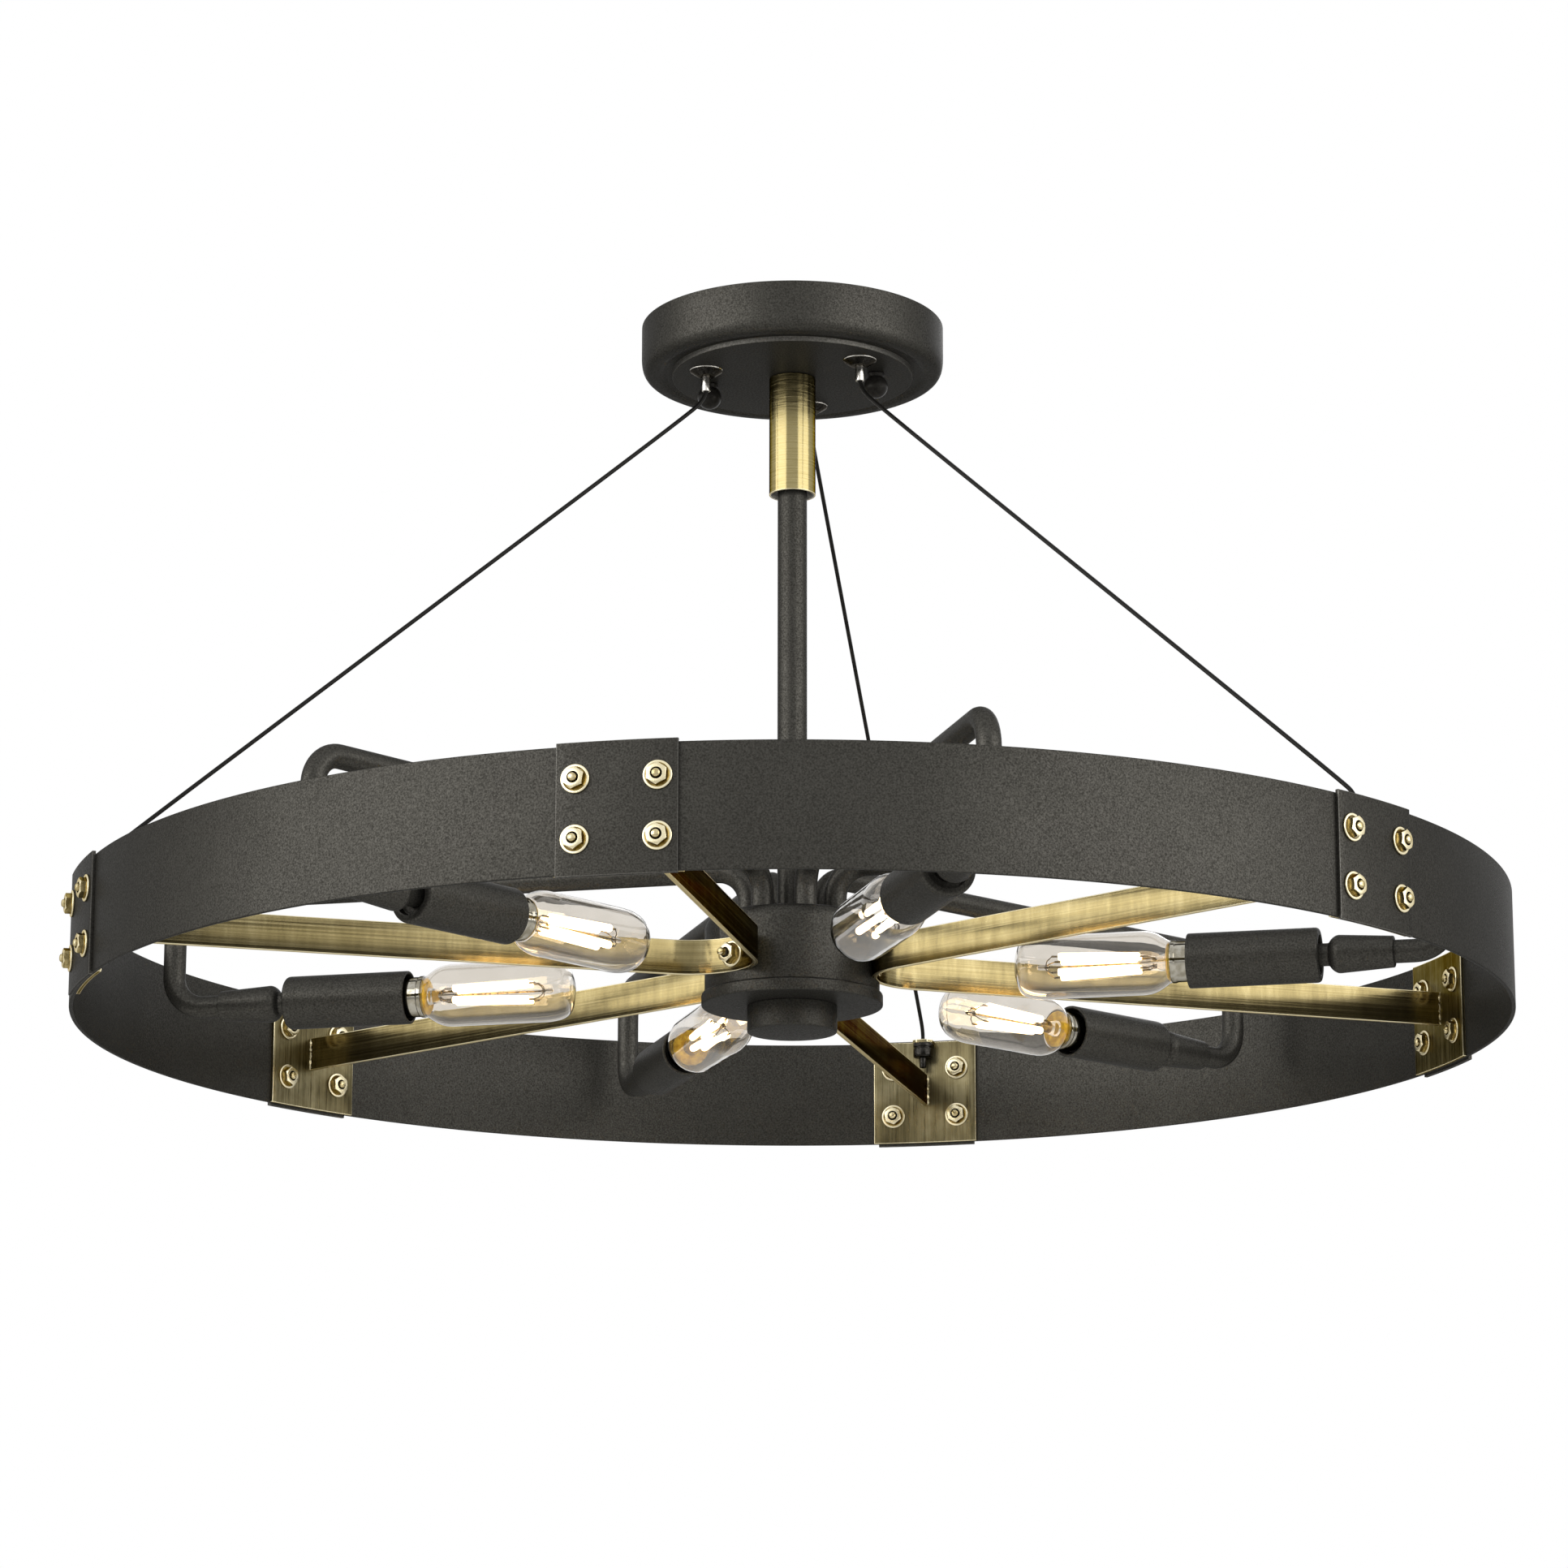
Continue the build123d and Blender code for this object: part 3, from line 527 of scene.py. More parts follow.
def clear_glass(name):
    """Thin blown glass, with a faint smoky tint and small flow marks."""
    finish = Finish(name)
    flow = finish.noise(finish.coordinates(), scale=60.0)
    finish.tone(flow, [(0.3, (0.805, 0.772, 0.722)), (0.7, (0.855, 0.825, 0.78))])
    finish.set(Transmission_Weight=1.0, Roughness=0.0, IOR=1.47)
    finish.bump(flow, 0.0003, strength=0.3)
    return finish.material


def filament_glow(name):
    """Hot filament stick, with a faint grain in its warm light."""
    finish = Finish(name)
    grain = finish.noise(finish.coordinates(), scale=700.0)
    finish.tone(grain, [(0.3, (1.0, 0.70, 0.36)), (0.7, (1.0, 0.84, 0.58))], into="Emission Color")
    finish.set(Base_Color=(0.9, 0.75, 0.4, 1.0), Emission_Strength=6.5, Roughness=0.5)
    return finish.material


def cement(name):
    """Golden basing cement and reflector in the foot of a bulb."""
    finish = Finish(name)
    lumps = finish.noise(finish.coordinates(), scale=420.0, detail=3.0)
    finish.tone(lumps, [(0.35, (0.55, 0.33, 0.004)), (0.66, (0.95, 0.70, 0.05))])
    finish.set(Metallic=0.2, Roughness=0.4)
    finish.bump(lumps, 0.0004)
    return finish.material


black_coat = coated("black_powder_coat", (0.029, 0.0278, 0.0245), (0.064, 0.0618, 0.0552),
                    roughness=0.42, metallic=0.68)
# Paler copy of the black coat on arms and socket tubes: painted light against the shade inside the ring.
lightened_tube_coat = coated("lightened_tube_coat", (0.036, 0.0345, 0.0305), (0.079, 0.0762, 0.068),
                   roughness=0.42, metallic=0.62)
# Paler copy of the black coat for bevels and the canopy's step wall: a painted highlight along edges.
edge_highlight_coat = coated("edge_highlight_coat", (0.075, 0.0725, 0.066), (0.13, 0.126, 0.115),
                    roughness=0.4, height=0.00005, specular=0.3, metallic=0.7)
black_lacquer = coated("black_lacquer", (0.012, 0.011, 0.010), (0.022, 0.021, 0.019),
                       roughness=0.36, grain=700.0, height=0.00004, specular=0.35, metallic=0.3)
strap_brass = brushed("strap_brass", (0.12, 0.095, 0.042), (0.235, 0.19, 0.088), (0.36, 0.305, 0.16),
                      roughness=0.18, lines=1150.0, stretch=2.5, depth=0.000008, blotch=0.56,
                      edge=(0.17, 0.155, 0.14), marks=130.0)
plate_brass = brushed("plate_brass", (0.07, 0.057, 0.028), (0.16, 0.135, 0.07), (0.29, 0.255, 0.15),
                      roughness=0.3, lines=900.0, stretch=30.0, blotch=0.62, edge=(0.4, 0.34, 0.22))
# Near-white copy of the brass for narrow sides, bevels, rims and nut faces: a painted highlight.
highlight_brass = brushed("highlight_brass", (0.62, 0.54, 0.34), (0.78, 0.70, 0.47), (0.90, 0.83, 0.62),
                     roughness=0.26)
sleeve_brass = brushed("sleeve_brass", (0.27, 0.222, 0.098), (0.33, 0.275, 0.13), (0.39, 0.33, 0.165),
                       roughness=0.2, stretch=90.0, depth=0.000004, blotch=0.1,
                       edge=(0.0, 0.0, 0.0), drawn=0.85)
# Near-white wall inside the sleeve: painted light where the tube's inside lies in shade.
sleeve_inside_painted_light = plated("sleeve_inside_painted_light", (0.92, 0.90, 0.86), (0.74, 0.72, 0.68), roughness=0.62)
satin_brass = plated("satin_brass", (0.46, 0.37, 0.175), (0.22, 0.17, 0.07), roughness=0.24,
                     grain=500.0, edge=(0.15, 0.12, 0.05))
# Brighter copy of the brass on washer faces and stud ends: painted light.
lit_washer_brass = plated("lit_washer_brass", (0.70, 0.61, 0.38), (0.45, 0.37, 0.19), roughness=0.2,
                      grain=420.0, edge=(0.3, 0.25, 0.15))
# Near-black brass in the nuts' countersunk holes: painted shade in the recess.
painted_hole_shade = plated("painted_hole_shade", (0.05, 0.042, 0.025), (0.02, 0.017, 0.010), roughness=0.4)
weld_brass = plated("weld_brass", (0.52, 0.46, 0.30), (0.14, 0.115, 0.06), roughness=0.24,
                    grain=600.0, depth=0.0001)
zinc_steel = plated("zinc_steel", (0.62, 0.63, 0.64), (0.42, 0.43, 0.45), roughness=0.33)
dark_steel = plated("dark_steel", (0.035, 0.033, 0.030), (0.016, 0.015, 0.013), roughness=0.24)
nickel = plated("nickel", (0.70, 0.68, 0.64), (0.52, 0.50, 0.46), roughness=0.14, edge=(0.1, 0.1, 0.09))
bulb_metal = plated("bulb_metal", (0.46, 0.44, 0.38), (0.30, 0.275, 0.215), roughness=0.05,
                    grain=300.0, edge=(0.0, 0.0, 0.0))
holder_black = coated("lampholder_body", (0.02, 0.02, 0.02), (0.04, 0.04, 0.04),
                      roughness=0.5, grain=900.0, height=0.00005, specular=0.5)
support_wire = plated("support_wire", (0.34, 0.26, 0.13), (0.10, 0.07, 0.03), roughness=0.25)
wire_rope = stranded("wire_rope")
glass = clear_glass("clear_glass")
glow = filament_glow("filament_glow")
gold_foot = cement("bulb_foot")

# Nut sides, painted highlight on faces and rims, painted shade in holes, painted light on washers and stud
# ends.
BOLT_MATERIALS = [satin_brass, highlight_brass, painted_hole_shade, lit_washer_brass]
SLOT_MATERIALS = {
    "black_powder_coat": black_coat,
    "aged_brass": strap_brass,
    "satin_brass": satin_brass,
    "zinc_steel": zinc_steel,
    "dark_steel": dark_steel,
    "nickel": nickel,
    "wire_rope": wire_rope,
    "lampholder_body": holder_black,
    "bulb_metal": bulb_metal,
    "clear_glass": glass,
}
for part in frame["record"]["subparts"]:
    node = frame["nodes"][part["node"]]
    finish = SLOT_MATERIALS[part["material_slot"]]
    if not node.material_slots:
        node.data.materials.append(finish)
    for material_slot in node.material_slots:
        material_slot.material = finish


# Camera at the photograph's place, found from the ring's four edges in it

def swung(first, second, degrees):
    """Two axes turned about the third, from the first towards the second."""
    cos, sin = math.cos(math.radians(degrees)), math.sin(math.radians(degrees))
    return first * cos + second * sin, second * cos - first * sin


def aim_camera():
    """Camera placed in metres from the ring's middle, its focal length in the photograph's pixels."""
    distance, height, azimuth = 2.05387, math.radians(11.566), math.radians(12.28)
    yaw, pitch, roll = -0.092, 2.070, 0.032
    focal, image_width, sensor_width = 6323.0, 1932.0, 36.0
    eye = Vector((0.0, -distance * math.cos(height), -distance * math.sin(height)))
    forward = -eye.normalized()
    right = Vector((1.0, 0.0, 0.0))
    upward = right.cross(forward)
    forward, right = swung(forward, right, yaw)
    forward, upward = swung(forward, upward, pitch)
    right, upward = swung(right, upward, roll)
    matrix = Matrix((right, upward, -forward)).transposed().to_4x4()
    matrix.translation = eye
    data = bpy.data.cameras.new("camera")
    data.sensor_fit = "HORIZONTAL"
    data.sensor_width = sensor_width
    data.lens = focal / image_width * sensor_width
    data.clip_start = 0.05
    data.clip_end = 60.0
    camera = bpy.data.objects.new("camera", data)
    bpy.context.scene.collection.objects.link(camera)
    middle = Matrix.Translation(up(RING_LEVEL * MM))
    camera.matrix_world = middle @ Matrix.Rotation(azimuth, 4, "Z") @ matrix
    bpy.context.scene.camera = camera


aim_camera()


# Canopy: a pressed pan with a rounded shoulder and a small step, open above. The step's rows are in
# the paler coat, a painted highlight, and the floor has holes for the stem, the studs and the grippers.

canopy = Shape()
canopy.turn(STEM_AXIS, soften([
    (CANOPY_BOTTOM, 0.0), (CANOPY_BOTTOM, 49.3, 0.35), (CANOPY_BOTTOM + 2.0, 49.7, 0.35),
    (CANOPY_BOTTOM + 2.0, 52.4, 1.3), (CANOPY_BOTTOM + 0.9, 55.0, 1.5),
    (CANOPY_BOTTOM + 1.3, CANOPY_RADIUS, 6.7), (0.0, CANOPY_RADIUS, 0.35),
    (0.0, CANOPY_RADIUS - CANOPY_WALL, 0.35), (CANOPY_INSIDE + 1.3, CANOPY_RADIUS - CANOPY_WALL, 5.6),
    (CANOPY_INSIDE + 1.3, 48.7, 0.8), (CANOPY_INSIDE, 47.4, 0.8), (CANOPY_INSIDE, 0.0),
], steps=8), segments=160, material=lambda r, c: 1 if 5 <= r <= 12 else 0)
canopy_pan = canopy.piece("canopy_pan", [black_coat, edge_highlight_coat], slot="black_powder_coat",
                          replaces=["canopy"])

stud_places = [Matrix.Translation((side * STUD_REACH, 0.0, 0.0)) for side in (-1, 1)]
holes = Shape()
for place, radius in ([(STEM_AXIS, 4.95)] + [(place, 2.15) for place in stud_places]
                      + [(upright(azimuth, GRIPPER_REACH), 4.3) for azimuth in CABLE_AZIMUTHS]):
    holes.turn(place, plain_bar(CANOPY_BOTTOM - 1.0, CANOPY_INSIDE + 1.0, radius), segments=40)
drilled(canopy_pan, holes)

# Studs and the ball nuts on them
studs = Shape()
for place in stud_places:
    studs.turn(place, [(STUD_BOTTOM, 0.0)] + threaded(STUD_BOTTOM, -0.4, 2.0, pitch=0.8, depth=0.25)
               + [(-0.05, 1.2), (-0.05, 0.0)], segments=20)
studs.piece("canopy_stud_pair", [zinc_steel], slot="zinc_steel", replaces=["canopy_studs"])

ball_profile = [(-5.5, 1.9), (-5.5, 3.2), (-5.2, 3.5), (-4.0, 3.3)]
for step in range(22):
    angle = math.radians(-50 + 140 * step / 21)
    ball_profile.append((BALL_RADIUS * math.sin(angle), max(BALL_RADIUS * math.cos(angle), 0.0)))
for side, name in ((-1, "left"), (1, "right")):
    ball = Shape()
    ball.turn(placed((side * STUD_REACH, 0.0, STUD_BOTTOM), (0, 0, -1), (1, 0, 0)), ball_profile,
              segments=48)
    ball.piece(f"ball_nut_{name}_turned", [black_lacquer], body=f"ball_nut_{name}",
               slot="black_powder_coat", replaces=[f"ball_nut_{name}"])

# Sleeve: brushed brass tube, its open lower edge in a painted highlight and its inside wall painted pale as
# painted light
sleeve = Shape()
sleeve.turn(STEM_AXIS, soften([
    (CANOPY_BOTTOM - STACK_GAP, THREAD_HOLE), (CANOPY_BOTTOM - STACK_GAP, SLEEVE_RADIUS, 0.5),
    (SLEEVE_BOTTOM, SLEEVE_RADIUS, 0.3), (SLEEVE_BOTTOM, SLEEVE_BORE, 0.3),
    (SLEEVE_INSIDE, SLEEVE_BORE), (SLEEVE_INSIDE, THREAD_HOLE),
], steps=4), segments=96, closed=True, material=lambda r, c: 0 if r < 6 else 1 if r < 11 else 2)
sleeve.piece("brass_sleeve", [sleeve_brass, highlight_brass, sleeve_inside_painted_light], slot="satin_brass",
             replaces=["sleeve"])

# Stem: black pipe with threaded ends
stem = Shape()
stem.turn(STEM_AXIS, [(STEM_BOTTOM, STEM_BORE)]
          + threaded(STEM_BOTTOM, HUB_TOP - 0.1, STEM_THREAD, pitch=1.0)
          + soften([(HUB_TOP, THREAD_ROOT), (HUB_TOP, STEM_RADIUS, 0.3), (-22.5, STEM_RADIUS, 0.4),
                    (-22.5, THREAD_ROOT)], steps=3)
          + threaded(-22.4, -11.2, STEM_THREAD, pitch=1.0) + [(-11.15, 4.3), (-11.15, STEM_BORE)],
          segments=64, closed=True)
stem.piece("stem_pipe", [black_coat], slot="black_powder_coat", replaces=["stem"])


# Hub: a deep cup with a rounded rim and a seat for each strap, a flange under it, and the finial

hub = Shape()
hub.turn(STEM_AXIS, soften([
    (HUB_BOTTOM, HUB_INNER), (HUB_BOTTOM, HUB_RADIUS, 0.35), (HUB_TOP, HUB_RADIUS, 5.6),
    (HUB_TOP, THREAD_HOLE), (HUB_TOP - 3.0, THREAD_HOLE), (HUB_TOP - 3.0, HUB_INNER),
], steps=10), segments=192, closed=True)
hub_cup = hub.piece("hub_cup", [black_coat], slot="black_powder_coat", replaces=["hub_body"])
seats = Shape()
for azimuth in STRAP_AZIMUTHS:
    seats.turn(upright(azimuth, SEAT_REACH),
               plain_bar(STRAP_LEVEL - 7.1, STRAP_LEVEL + 28.0, SEAT_RADIUS), segments=160)
drilled(hub_cup, seats)

cover = Shape()
cover.turn(STEM_AXIS, soften([
    (HUB_BOTTOM - STACK_GAP, THREAD_HOLE), (HUB_BOTTOM - STACK_GAP, FLANGE_RADIUS, 1.1),
    (FLANGE_BOTTOM, FLANGE_RADIUS, 0.7), (FLANGE_BOTTOM, THREAD_HOLE),
], steps=6, closed=True), segments=192, closed=True)
cover.piece("hub_flange", [black_coat], slot="black_powder_coat", replaces=["hub_cover"])

finial = Shape()
finial.turn(STEM_AXIS, soften([
    (FLANGE_BOTTOM - STACK_GAP, THREAD_HOLE), (FLANGE_BOTTOM - STACK_GAP, FINIAL_RADIUS, 0.3),
    (FINIAL_BOTTOM, FINIAL_RADIUS, 0.9), (FINIAL_BOTTOM, 0.0),
    (FINIAL_FLOOR, 0.0), (FINIAL_FLOOR, THREAD_HOLE),
], steps=6), segments=128)
finial.piece("finial_turned", [black_coat], body="finial_cap", slot="black_powder_coat",
             replaces=["finial_cap"])


# Ring band and the plates on it

ring = Shape()
ring.turn(STEM_AXIS, soften([
    (RING_BOTTOM, BAND_INNER, 0.3), (RING_BOTTOM, RING_RADIUS, 0.3),
    (RING_TOP, RING_RADIUS, 0.3), (RING_TOP, BAND_INNER, 0.3),
], steps=3, closed=True), segments=480, closed=True)
ring.piece("ring_hoop", [black_coat], slot="black_powder_coat", replaces=["ring_band"])


def curved_plate(shape, azimuth, inner, outer, size):
    """Plate that follows the ring's curve, with its U upright."""
    width, height = size
    half = math.degrees(width / 2 / outer)
    thick = outer - inner
    low, high = up(RING_LEVEL - height / 2), up(RING_LEVEL + height / 2)
    steps = 12
    rows = []
    for step in range(steps + 1):
        out = direction(azimuth - half + 2 * half * step / steps)
        rows.append([out * inner + low, out * outer + low, out * outer + high, out * inner + high])
    heights = [0.0, thick, thick + height, 2 * thick + height, 2 * thick + 2 * height]
    made = shape.grid(rows, us=spaced(width, steps), vs=heights, crosswise=True)
    for row, v in ((made[0][::-1], 0), (made[-1], 1)):
        shape.face(row, [(0, v), (1, v), (1, v + 1), (0, v + 1)])


plates = Shape()
for azimuth in BRACKET_AZIMUTHS:
    curved_plate(plates, azimuth, RING_RADIUS + PLATE_GAP, PLATE_OUTER, OUTER_PLATE_SIZE)
# Their bevelled edges are in the paler coat, a painted highlight.
plates.piece("outer_plate_set", [black_coat, edge_highlight_coat], slot="black_powder_coat",
             replaces=["outer_plates"], bevelled=True)


# Straps: flat bars bent round the hub, with curved plates welded on and a cable lug

def strap_route(azimuth):
    """Centre line of the bar in plan, from one plate round the hub seat to the other."""
    centre = direction(azimuth) * SEAT_REACH
    legs = []
    for side in (-1, 1):
        end = direction(azimuth + side * PLATE_TURN) * (PLATE_INNER + 0.5)
        span = end - centre
        heading = math.degrees(math.atan2(span.y, span.x))
        opening = math.degrees(math.acos(BEND_RADIUS / span.length))
        legs.append((end, heading + side * opening))
    (start, first), (finish, last) = legs
    sweep = (first - last) % 360
    if sweep > 180:
        sweep -= 360
    leg_steps, bend_steps = 12, 48
    bend_start = centre + direction(first) * BEND_RADIUS
    bend_end = centre + direction(last) * BEND_RADIUS
    points = [start.lerp(bend_start, step / leg_steps) for step in range(leg_steps)]
    points += [centre + direction(first - sweep * step / bend_steps) * BEND_RADIUS
               for step in range(bend_steps + 1)]
    points += [bend_end.lerp(finish, step / leg_steps) for step in range(1, leg_steps + 1)]
    return points


def flat_bar(shape, points):
    """Flat bar on edge along a plan route, with its U along it, and its narrow sides and ends in the
    second material, a painted highlight."""
    half_t, half_h, rounding = BAR_THICKNESS / 2, BAR_HEIGHT / 2, 0.3
    section = soften([(-half_t, -half_h, rounding), (half_t, -half_h, rounding),
                      (half_t, half_h, rounding), (-half_t, half_h, rounding)], steps=3, closed=True)
    rows = [[point + beside(heading) * s.x + up(STRAP_LEVEL + s.y) for s in section]
            for point, heading in zip(points, tangents(points))]
    across = distances(section + section[:1])

    def which(_, column):
        return 0 if across[column + 1] - across[column] > BAR_HEIGHT / 2 else 1

    shape.ends(shape.grid(rows, us=distances(points), vs=across, material=which), 1)


def weld(shape, azimuth, offset):
    """Small weld bead between a bar's end and its plate."""
    steps, low, high = 14, STRAP_LEVEL - 7.0, STRAP_LEVEL + 6.8
    out = direction(azimuth)
    across = beside(out)
    rows = []
    for step in range(steps + 1):
        level = low + (high - low) * step / steps
        size = 0.7 + 0.28 * math.sin(step * 2.3) if 0 < step < steps else 0.15
        centre = out * (PLATE_INNER - 0.1) + across * offset + up(level)
        rows.append([centre + out * (size * math.cos(angle)) + across * (size * math.sin(angle))
                     for angle in circle(6)])
    shape.ends(shape.grid(rows))


def cable_lug(shape, azimuth):
    """Small level tab for a cable, with its inner corners cut off."""
    out = direction(azimuth)
    across = beside(out)
    corners = [out * (PLATE_INNER + reach) + across * swing
               for reach, swing in ((0.6, -4.5), (-6.0, -4.5), (-8.0, -2.5),
                                    (-8.0, 2.5), (-6.0, 4.5), (0.6, 4.5))]
    lower = [shape.bm.verts.new(corner + up(LUG_BOTTOM)) for corner in corners]
    upper = [shape.bm.verts.new(corner + up(LUG_TOP)) for corner in corners]
    shape.cap(lower[::-1])
    shape.cap(upper)
    for index in range(len(corners)):
        after = (index + 1) % len(corners)
        shape.face([lower[index], lower[after], upper[after], upper[index]],
                   [(0, 0), (1, 0), (1, 1), (0, 1)])


for number, azimuth in enumerate(STRAP_AZIMUTHS, 1):
    bar = Shape()
    flat_bar(bar, strap_route(azimuth))
    bar.piece(f"strap_bar_{number}", [strap_brass, highlight_brass], slot="aged_brass",
              replaces=[f"strap_{number}"])
    ends = Shape()
    beads = Shape()
    for side in (-1, 1):
        end_azimuth = azimuth + side * PLATE_TURN
        curved_plate(ends, end_azimuth, PLATE_INNER, BAND_INNER - PLATE_GAP, INNER_PLATE_SIZE)
        for offset in (-1.2, 1.2):
            weld(beads, end_azimuth, offset)
    cable_lug(ends, azimuth - PLATE_TURN)
    # Their bevelled edges are in the near-white brass, a painted highlight.
    ends.piece(f"strap_plates_{number}", [plate_brass, highlight_brass], slot="aged_brass", bevelled=True)
    beads.piece(f"strap_welds_{number}", [weld_brass], slot="aged_brass")


# Bolts: a washer, a nut and a rounded stud end on both sides of every bracket

def bolt_end(shape, place, stand, height):
    """Washer, nut and stud end, standing on the plane; the washer's rim is in the painted highlight, and
    its face and the stud end in the brighter painted light.
    """
    shape.turn(place, soften([
        (0.0, 0.0), (0.0, WASHER_RADIUS, 0.2), (0.85, WASHER_RADIUS, 0.3),
        (0.95, WASHER_RADIUS - 0.9, 0.2), (0.7, 4.0, 0.2), (0.7, 0.0),
    ], steps=3), segments=48, material=lambda r, c: 1 if 5 <= r <= 12 else 3)
    shape.nut(place, height, start=0.6)
    shape.turn(place, [
        (stand - 2.1, 0.0), (stand - 2.1, 1.55), (stand - 0.75, 1.55), (stand - 0.35, 1.4),
        (stand - 0.08, 0.95), (stand, 0.45), (stand, 0.0),
    ], segments=24, material=lambda r, c: 3 if r > 1 else 0)


swing = math.degrees(BOLT_SPACING / 2 / RING_RADIUS)
bolts = Shape()
for azimuth in BRACKET_AZIMUTHS:
    for turn in (-swing, swing):
        out = direction(azimuth + turn)
        for rise in (-BOLT_RISE, BOLT_RISE):
            level = RING_LEVEL + rise
            # Each nut stops at an angle of its own.
            spin = Matrix.Rotation(math.radians((azimuth * 7 + turn * 11 + rise * 5) % 60), 4, "Z")
            outer = outward(azimuth + turn, PLATE_OUTER + PLATE_GAP, level)
            inner = placed(out * (PLATE_INNER - PLATE_GAP) + up(level), -out, beside(-out))
            for place in (outer, inner):
                bolt_end(bolts, place @ spin, stand=4.6, height=2.8)
bolts.piece("bracket_bolt_set", BOLT_MATERIALS, slot="satin_brass", replaces=["bracket_bolts"])

strap_nuts = Shape()
for azimuth in STRAP_AZIMUTHS:
    out = direction(azimuth)
    bolt_end(strap_nuts, outward(azimuth, HUB_RADIUS + STACK_GAP, STRAP_LEVEL), stand=7.85, height=4.0)
    inside = out * (HUB_INNER - 1.0) + up(STRAP_LEVEL)
    strap_nuts.turn(placed(inside, out, (0, 0, 1)), plain_bar(-3.0, 6.0, 1.9), segments=24)
    strap_nuts.nut(placed(inside, -out, (0, 0, 1)), height=3.0)
strap_nuts.piece("strap_bolt_set", BOLT_MATERIALS, slot="satin_brass", replaces=["strap_bolts"])


# Cable grippers, release nozzles, cables and stops

# The flange's rim rows are in nickel, a painted highlight on the dark steel.
grippers = Shape()
for azimuth in CABLE_AZIMUTHS:
    grippers.turn(upright(azimuth, GRIPPER_REACH), soften([
        (-23.9, 1.95), (-23.9, 3.6, 0.3), (-22.0, 6.6, 0.3), (-21.35, 7.0, 0.2), (-21.3, 4.0),
    ], steps=4) + threaded(-21.2, -10.8, 4.2, pitch=0.9, depth=0.28) + [
        (-10.3, 3.7), (-10.3, 1.2), (-19.3, 1.2), (-19.3, 2.85), (-22.35, 2.85), (-22.35, 1.95),
    ], segments=56, closed=True, material=lambda r, c: 1 if 10 <= r <= 14 else 0)
grippers.piece("cable_gripper_set", [dark_steel, nickel], slot="dark_steel", replaces=["cable_grippers"])

nozzle_profile = soften([
    (-30.4, 1.1), (-30.4, 1.8, 0.3), (-26.0, 1.8), (-22.4, 1.8), (-22.2, 2.7), (-21.0, 2.7), (-21.0, 1.1),
], steps=3)
for number, azimuth in enumerate(CABLE_AZIMUTHS, 1):
    nozzle = Shape()
    nozzle.turn(upright(azimuth, GRIPPER_REACH), nozzle_profile, segments=40, closed=True)
    nozzle.piece(f"release_nozzle_{number}", [nickel], body=f"release_{number}", slot="nickel",
                 replaces=[f"gripper_release_{number}"])


def cable_line(azimuth):
    """Points of a taut cable's centre line, read from its own spline."""
    out = direction(azimuth)
    route = ((GRIPPER_REACH, -10.3), (GRIPPER_REACH, -24.0), (GRIPPER_REACH, -33.2), (46.5, -42.5),
             (150.0, -131.1), (272.6, -236.1), (LUG_RADIUS, -242.0), (LUG_RADIUS, LUG_BOTTOM),
             (LUG_RADIUS, -252.0))
    data = bpy.data.curves.new("cable_line", "CURVE")
    data.dimensions = "3D"
    data.resolution_u = 24
    spline = data.splines.new("NURBS")
    spline.points.add(len(route) - 1)
    for point, (reach, level) in zip(spline.points, route):
        point.co = (*(out * reach + up(level)), 1.0)
    spline.use_endpoint_u = True
    spline.order_u = 3
    holder = bpy.data.objects.new("cable_line", data)
    mesh = bpy.data.meshes.new_from_object(holder)
    points = [v.co.copy() for v in mesh.vertices]
    bpy.data.objects.remove(holder)
    bpy.data.meshes.remove(mesh)
    bpy.data.curves.remove(data)
    return points


for number, azimuth in enumerate(CABLE_AZIMUTHS, 1):
    cable = Shape()
    cable.tube(cable_line(azimuth), CABLE_RADIUS, segments=16)
    cable.piece(f"steel_cable_{number}", [wire_rope], slot="wire_rope", replaces=[f"cable_{number}"],
                sharp=SOFT_ANGLE)

stops = Shape()
for azimuth in CABLE_AZIMUTHS:
    stops.turn(upright(azimuth, LUG_RADIUS), soften([
        (LUG_BOTTOM - 0.02, 0.0), (LUG_BOTTOM - 0.02, 4.4, 0.4), (-249.3, 4.4, 0.2), (-249.5, 4.0),
        (-249.9, 4.0), (-250.1, 4.4, 0.2), (-254.0, 4.4, 0.8), (-254.0, 1.55), (-258.6, 1.55, 0.3),
        (-259.0, 0.0),
    ], steps=4), segments=48)
stops.piece("cable_stop_set", [dark_steel], slot="dark_steel", replaces=["cable_stops"])


# Arms and lamps

def arm_plan(number):
    """Root, foot and heading of an arm in plan."""
    azimuth = LAMP_AZIMUTHS[number]
    heading = direction(azimuth + ARM_TURNS[number])
    root = direction(azimuth) * ARM_ROOT
    return root, root + heading * (ARM_DROP - ARM_ROOT), heading


def bent(corners, radius, steps=14):
    """Centre line of a bent tube: straight runs with an arc in each corner."""
    line = [corners[0]]
    for before, corner, after in zip(corners, corners[1:], corners[2:]):
        back = (before - corner).normalized()
        ahead = (after - corner).normalized()
        turn = math.pi - back.angle(ahead)
        reach = radius * math.tan(turn / 2)
        middle = corner + (back + ahead).normalized() * (radius / math.cos(turn / 2))
        start = corner + back * reach - middle
        for step in range(steps + 1):
            angle = turn * step / steps
            line.append(middle + start * math.cos(angle) - back * (radius * math.sin(angle)))
    return line + [corners[-1]]


